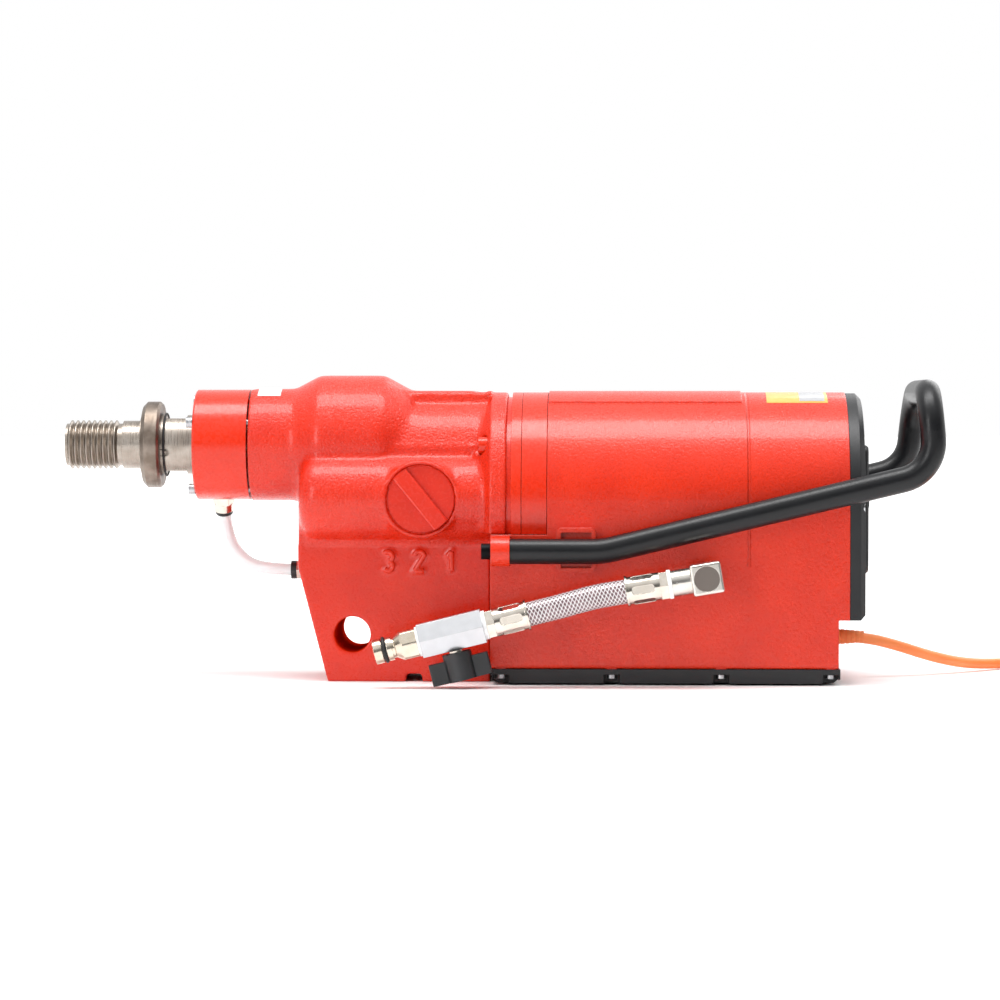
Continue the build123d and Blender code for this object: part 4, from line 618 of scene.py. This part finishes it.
def metal_only_outside(tree, shader, mask):
    """Metal on the plain part and none on the marked part."""
    tree.links.new(arithmetic(tree, "SUBTRACT", 1.0, mask), shader.inputs["Metallic"])


VALVE_X, VALVE_Z = 30.0, 34.3
VALVE_TILT = math.radians(14)
O_RING_FROM, O_RING_TO = 0.0416, 0.0444
ELBOW_X, ELBOW_Z = 0.189, 0.069
DISC_RADIUS, DISC_DEPTH = 0.0080, 0.0070
LOWER_COLLET_X, LOWER_COLLET_HALF = -0.0790, 0.0021
UPPER_COLLET_REACH, UPPER_COLLET_BACK = 0.0476, -0.11
valve_line = (-math.cos(VALVE_TILT), 0, -math.sin(VALVE_TILT))


def o_ring_place(tree, place):
    axes = along_line(tree, place, (VALVE_X, SET_Y, VALVE_Z), valve_line)
    after = arithmetic(tree, "GREATER_THAN", axes[0], O_RING_FROM)
    before = arithmetic(tree, "LESS_THAN", axes[0], O_RING_TO)
    return arithmetic(tree, "MULTIPLY", after, before)


plug_finish, tree, shader, mask = marked("plug_with_o_ring", plug_nickel, "#151516", 0.55, o_ring_place)
metal_only_outside(tree, shader, mask)


def sight_disc_place(tree, place):
    """Inside the round window of the elbow, on its face towards -Y."""
    moved = add(tree, "ShaderNodeVectorMath", {0: place}, operation="SUBTRACT")
    moved.inputs[1].default_value = (ELBOW_X, SET_Y * MM, ELBOW_Z)
    axes = add(tree, "ShaderNodeSeparateXYZ", {"Vector": moved.outputs[0]}).outputs
    inside = arithmetic(tree, "LESS_THAN", hypotenuse(tree, axes[0], axes[2]), DISC_RADIUS)
    return arithmetic(tree, "MULTIPLY", inside, arithmetic(tree, "LESS_THAN", axes[1], -DISC_DEPTH))


def collet_place(tree, place):
    """The push-in collets at both ends of the clear tube."""
    axes = add(tree, "ShaderNodeSeparateXYZ", {"Vector": place}).outputs
    beside = arithmetic(tree, "ABSOLUTE", arithmetic(tree, "SUBTRACT", axes[0], LOWER_COLLET_X))
    lower = arithmetic(tree, "LESS_THAN", beside, LOWER_COLLET_HALF)
    fall = (0, math.sin(FITTING_TILT), -math.cos(FITTING_TILT))
    reach = along_line(tree, place, (SWIVEL_X, 0, SPINDLE_Z), fall)[0]
    below = arithmetic(tree, "GREATER_THAN", reach, UPPER_COLLET_REACH)
    ahead = arithmetic(tree, "LESS_THAN", axes[0], UPPER_COLLET_BACK)
    upper = arithmetic(tree, "MULTIPLY", below, ahead)
    return arithmetic(tree, "MAXIMUM", lower, upper)


tube_finish, tree, shader, mask = marked("fittings_with_black_collets", fitting_nickel, "#101011", 0.4,
                                         collet_place)
metal_only_outside(tree, shader, mask)
elbow_finish, tree, shader, mask = marked("elbow_with_disc", elbow_nickel, "#7A726C", 0.42, sight_disc_place)

# %% [markdown]
# ## Dress the CAD nodes
#
# Each node takes its finish from this list. The nodes that are remade in this
# lesson are in it too, so that each has its own colour if it is shown.

# %% Finishes of the nodes
finish_of = {
    cast_enamel: ["gearbox_casing"],
    housing_enamel: ["motor_housing"],
    gloss_enamel: ["bearing_plate", "water_swivel", "front_gear_ring", "rear_gear_ring", "flange_bolts"],
    knob_enamel: ["selector_knob"],
    spindle_steel: ["drill_spindle", "release_keys"],
    ring_steel: ["release_ring"],
    gear_steel: ["shaft_bearings", "fork_rail", "shift_fork", "shift_collar", "input_shaft", "layshaft",
                 "layshaft_gears", "output_wheel", "planet_ring_gear", "planet_carrier", "rotor_shaft",
                 "selector_crank", "speed_gear_1", "speed_gear_2", "speed_gear_3", "planet_gear_1",
                 "planet_gear_2", "planet_gear_3"],
    zinc_steel: ["swivel_screws", "cover_screws"],
    black_steel: ["handle_screws"],
    bracket_aluminium: ["rear_bracket"],
    valve_nickel: ["valve_body"],
    fitting_nickel: ["hose_fittings", "valve_ball"],
    tube_finish: ["tube_fittings"],
    plug_finish: ["coupling_plug"],
    elbow_finish: ["inlet_elbow"],
    black_cover: ["rear_cover", "bottom_cover", "switch_frame", "power_switch", "mains_plug", "brush_gear"],
    handle_coat: ["handle"],
    lever_plastic: ["valve_lever"],
    seal_rubber: ["shaft_seals", "release_o_ring", "cord_gland"],
    washer_plastic: ["sealing_washers"],
    fan_plastic: ["cooling_fan"],
    winding_wire: ["field_windings"],
    core_sheets: ["armature", "stator_core"],
    board_resin: ["control_board"],
    hose_plastic: ["braided_hose"],
    cord_sheath: ["power_cord", "cord_coil"],
    tube_plastic: ["water_tube"],
}
dressed = 0
for finish, names in finish_of.items():
    for name in names:
        node = frame["nodes"][name]
        node.data.materials.clear()
        node.data.materials.append(finish)
        dressed += 1
print("dressed", dressed, "of", len(frame["nodes"]))

# %% [markdown]
# ## The gearbox casting, with its soft corners
#
# A die casting has no sharp inside corners: where the round drums of the gear
# train meet the foot, the metal flows over in fillets some 3 mm round. The CAD
# part has these meetings as plain edges. A copy of it is turned into an even
# mesh by a voxel remesh. One pass of smoothing takes the steps out of all of it,
# and twenty more relax the drum region. The machined places, which are the foot,
# the knob's seat, the bolt pockets and the flange's rim, get the one pass only.
# The copy stands for the CAD node.

# %% Soft casting
VOXEL_MM = 1.15
KNOB_SEAT = 24.5
MAX_TRIANGLES = 180000
FOOT_TOP_MM = 87.5
DRUM_FRONT_X, DRUM_BACK_X = -103, 49
SEAT_FACE_Y = -48
POCKET_FRONT_X = 39
POCKET_Y, POCKET_Z = 46.9, 151.1
POCKET_CLEAR = 9


def node_copy(node_name, name):
    """A merged copy of a CAD node's mesh, as a new free object."""
    source = frame["nodes"][node_name]
    piece = bpy.data.objects.new(name, source.data.copy())
    bpy.context.scene.collection.objects.link(piece)
    only(piece)
    bpy.ops.object.mode_set(mode="EDIT")
    bpy.ops.mesh.select_all(action="SELECT")
    bpy.ops.mesh.remove_doubles(threshold=1e-6)
    bpy.ops.object.mode_set(mode="OBJECT")
    return piece


def apply_new(piece, kind, **settings):
    """Add a modifier with these settings and apply it."""
    step = piece.modifiers.new(kind.lower(), kind)
    for key, value in settings.items():
        setattr(step, key, value)
    only(piece)
    bpy.ops.object.modifier_apply(modifier=step.name)


def in_cast_zone(place):
    """Outer drum surfaces that a foundry rounds, in mm."""
    x, y, z = (value / MM for value in place)
    if z < FOOT_TOP_MM or not DRUM_FRONT_X <= x <= DRUM_BACK_X:
        return False
    if y < SEAT_FACE_Y and math.hypot(x - KNOB_X, z - MOTOR_Z) < KNOB_SEAT:
        return False
    pocket = min(math.hypot(y - side * POCKET_Y, z - POCKET_Z) for side in (-1, 1))
    return not (x > POCKET_FRONT_X and pocket < POCKET_CLEAR)


soft_casing = node_copy("gearbox_casing", "gearbox_casting")
apply_new(soft_casing, "REMESH", mode="VOXEL", voxel_size=VOXEL_MM * MM)
for zone, repeats in ((lambda place: True, 1), (in_cast_zone, 20)):
    bpy.ops.object.mode_set(mode="EDIT")
    work = bmesh.from_edit_mesh(soft_casing.data)
    for vertex in work.verts:
        vertex.select = zone(vertex.co)
    work.select_flush_mode()
    bmesh.update_edit_mesh(soft_casing.data)
    bpy.ops.mesh.vertices_smooth(factor=0.5, repeat=repeats)
    bpy.ops.object.mode_set(mode="OBJECT")
triangles = 2 * len(soft_casing.data.polygons)
if triangles > MAX_TRIANGLES:
    apply_new(soft_casing, "DECIMATE", ratio=MAX_TRIANGLES / triangles)
only(soft_casing)
bpy.ops.object.shade_smooth()
soft_casing.data.materials.clear()
soft_casing.data.materials.append(cast_enamel)
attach(soft_casing, "unit")
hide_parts("gearbox_casing")
print("casting", triangles, "triangles before thinning")

# %% [markdown]
# The raised speed marks 3, 2 and 1 under the selector stay crisp. Each is a
# round bead, half sunk in the foot's face, along the centre lines of the CAD
# digits. A fine voxel remesh joins the strokes of a digit into one skin.

# %% Speed marks
MARK_FACE = -41.5
MARK_Z = 77.0
MARK_RADIUS = 1.9
MARK_VOXEL_MM = 0.35
HALF_WIDE, HALF_HIGH = 3.0, 6.25


def arc_points(first, middle, last, steps=16):
    """Points on the circle through three points, from the first to the last."""
    (ax, ay), (bx, by), (cx, cy) = first, middle, last
    twice = 2 * (ax * (by - cy) + bx * (cy - ay) + cx * (ay - by))
    sizes = (ax * ax + ay * ay, bx * bx + by * by, cx * cx + cy * cy)
    x = (sizes[0] * (by - cy) + sizes[1] * (cy - ay) + sizes[2] * (ay - by)) / twice
    y = (sizes[0] * (cx - bx) + sizes[1] * (ax - cx) + sizes[2] * (bx - ax)) / twice
    angles = [math.atan2(point[1] - y, point[0] - x) for point in (first, middle, last)]
    sweep = (angles[2] - angles[0]) % (2 * math.pi)
    if (angles[1] - angles[0]) % (2 * math.pi) > sweep:
        sweep -= 2 * math.pi
    radius = math.hypot(ax - x, ay - y)
    turns = [angles[0] + sweep * step / steps for step in range(steps + 1)]
    return [(x + radius * math.cos(turn), y + radius * math.sin(turn)) for turn in turns]


bowl = HALF_HIGH / 2
side = (bowl * 0.9, bowl * 1.1)
hook = (-HALF_WIDE * 0.8, HALF_HIGH * 0.8)
brow = HALF_HIGH - HALF_WIDE * 0.9
strokes = {
    -13.0: [arc_points(hook, side, (0, 0)), arc_points((0, 0), (side[0], -side[1]), (hook[0], -hook[1]))],
    7.0: [arc_points((-HALF_WIDE, brow), (0, HALF_HIGH), (HALF_WIDE, brow)) + [(-HALF_WIDE, -HALF_HIGH)],
          [(-HALF_WIDE, -HALF_HIGH), (HALF_WIDE, -HALF_HIGH)]],
    27.0: [[(-HALF_WIDE * 0.8, HALF_HIGH * 0.45), (0.6, HALF_HIGH)], [(0.6, HALF_HIGH), (0.6, -HALF_HIGH)]],
}
beads = bpy.data.curves.new("speed_marks", "CURVE")
beads.dimensions = "3D"
beads.bevel_depth = MARK_RADIUS * MM
beads.bevel_resolution = 4
beads.use_fill_caps = True
for mark_x, lines in strokes.items():
    for line in lines:
        spline = beads.splines.new("POLY")
        spline.points.add(len(line) - 1)
        for corner, (across, up) in zip(spline.points, line):
            corner.co = ((mark_x + across) * MM, MARK_FACE * MM, (MARK_Z + up) * MM, 1)
marks = bpy.data.objects.new("speed_marks", beads)
bpy.context.scene.collection.objects.link(marks)
only(marks)
bpy.ops.object.convert(target="MESH")
marks = bpy.context.object
apply_new(marks, "REMESH", mode="VOXEL", voxel_size=MARK_VOXEL_MM * MM)
apply_new(marks, "SMOOTH", factor=0.5, iterations=5)
only(marks)
bpy.ops.object.shade_smooth()
marks.data.materials.clear()
marks.data.materials.append(gloss_enamel)
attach(marks, "unit")
print("marks", len(marks.data.polygons), "faces")

# %% [markdown]
# ## Labels
#
# Two blank stickers sit on the enamel: a yellow one with a grey field at the
# rear of the housing, and a small white one on the gearbox nose. Each is a thin
# curved sheet. A cylinder gives the curve, the faces outside the label are
# deleted, and Solidify gives the sheet its thickness.

# %% Curved labels
LABEL_SEGMENTS = 180
LABEL_LIFT = 0.05
LABEL_THICKNESS = 0.12


def curved_label(name, radius, x0, x1, angle0, angle1, centre_z, finish):
    """A sticker on a cylinder along X, between two angles from the top towards -Y."""
    middle = (x0 + x1) / 2 * MM
    bpy.ops.object.select_all(action="DESELECT")
    bpy.ops.mesh.primitive_cylinder_add(vertices=LABEL_SEGMENTS, radius=(radius + LABEL_LIFT) * MM,
                                        depth=(x1 - x0) * MM, end_fill_type="NOTHING",
                                        location=(middle, 0, centre_z * MM), rotation=(0, math.pi / 2, 0))
    piece = settle(bpy.context.object)
    piece.name = name
    bpy.ops.object.mode_set(mode="EDIT")
    work = bmesh.from_edit_mesh(piece.data)
    gone = []
    for face in work.faces:
        centre = face.calc_center_median()
        angle = math.degrees(math.atan2(-centre.y, centre.z - centre_z * MM))
        if not angle0 <= angle <= angle1:
            gone.append(face)
    bmesh.ops.delete(work, geom=gone, context="FACES")
    bmesh.update_edit_mesh(piece.data)
    bpy.ops.object.mode_set(mode="OBJECT")
    wall = piece.modifiers.new("sheet", "SOLIDIFY")
    wall.thickness = LABEL_THICKNESS * MM
    wall.offset = 1
    only(piece)
    bpy.ops.object.modifier_apply(modifier="sheet")
    bpy.ops.object.shade_smooth_by_angle(angle=math.radians(30))
    piece.data.materials.clear()
    piece.data.materials.append(finish)
    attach(piece, "unit")
    return piece


def sticker(name, code, pale):
    material, tree, shader, place = start_material(name, code, 0.0, 0.3, Coat_Weight=0.4, Coat_Roughness=0.1)
    cloud = noise(tree, place, 8, 2)
    tree.links.new(ramp(tree, cloud, [(0.3, code), (0.7, pale)]), shader.inputs["Base Color"])
    bumped(tree, shader, cloud, 0.02, 0.5)
    return material


yellow_foil = sticker("label_yellow_foil", "#DDA238", "#E2AC48")
grey_foil = sticker("label_grey_foil", "#9C9DA0", "#A8A9AB")
white_foil = sticker("label_white_foil", "#C9C9C8", "#D6D6D4")
curved_label("label_rear", 68.0, 229, 268, 2, 26, MOTOR_Z, yellow_foil)
curved_label("label_rear_field", 68.15, 250, 266, 5, 23, MOTOR_Z, grey_foil)
curved_label("label_nose", 36.4, -99, -84, 4, 30, SPINDLE_Z, white_foil)

# %% [markdown]
# ## Put the soft pieces on their bodies
#
# The cord, its sleeve, the clear tube and the red ring that hides the shade in the knob's gap belong to the
# unit.
# The cord stands for two CAD nodes and the tube for one.

# %% Riding
for piece, finish, slot in ((mains_cord, cord_sheath, "orange"), (clear_tube, tube_plastic, "clear_tube"),
                            (cord_sleeve, cord_sheath, "orange"), (knob_gap_fill, knob_enamel, "red_smooth")):
    piece.data.materials.clear()
    piece.data.materials.append(finish)
    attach(piece, "unit")
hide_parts("power_cord", "cord_coil")
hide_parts("water_tube")

# %% [markdown]
# ## Floor and light
#
# The set is a plain white table under soft light: a large soft box above, one
# at the left front and one behind, and a white room all round. The room is dark
# in front, so that the enamel stays deep, and the table glows a little far
# behind the unit, where the lamps do not reach.

# %% Studio


bpy.ops.object.select_all(action="DESELECT")
bpy.ops.mesh.primitive_plane_add(size=30, location=(0, 0, -0.0002))
floor = bpy.context.object
floor.name = "studio_floor"
floor_white, tree, shader, place = start_material("studio_white", "#FFFFFF", 0.0, 0.6,
                                                  Emission_Color=(1, 1, 1, 1))
depth = add(tree, "ShaderNodeSeparateXYZ", {"Vector": place}).outputs[1]
tree.links.new(span(tree, depth, 0.3, 1.5, 0.0, 0.5), shader.inputs["Emission Strength"])
floor.data.materials.append(floor_white)


def soft_box(name, place, aim, width, height, watts):
    data = bpy.data.lights.new(name, "AREA")
    data.shape = "RECTANGLE"
    data.size = width
    data.size_y = height
    data.energy = watts
    lamp = bpy.data.objects.new(name, data)
    bpy.context.scene.collection.objects.link(lamp)
    lamp.location = place
    lamp.rotation_euler = (Vector(aim) - Vector(place)).to_track_quat("-Z", "Y").to_euler()
    return lamp


soft_box("top_box", (0.05, -0.25, 1.5), (0.05, 0, 0.1), 1.5, 0.6, 25)
soft_box("front_box", (-1.2, -1.9, 0.7), (0.05, 0, 0.1), 0.7, 1.1, 16)
soft_box("back_box", (0.9, 1.2, 0.9), (0.05, 0, 0.15), 1.2, 0.8, 6)
world = bpy.data.worlds.new("white_room")
world.use_nodes = True
room = world.node_tree
looking = add(room, "ShaderNodeTexCoord").outputs["Generated"]
facing = add(room, "ShaderNodeSeparateXYZ", {"Vector": looking}).outputs
behind = span(room, facing[1], -0.25, 0.15, 0.0, 1.0)
above = span(room, facing[2], 0.25, 0.75, 0.0, 1.0)
brightness = span(room, arithmetic(room, "MAXIMUM", behind, above), 0, 1, 0.13, 1.0)
room.links.new(brightness, room.nodes["Background"].inputs["Strength"])
room.nodes["Background"].inputs["Color"].default_value = (1, 1, 1, 1)
bpy.context.scene.world = world
bpy.context.scene.view_settings.view_transform = "Standard"
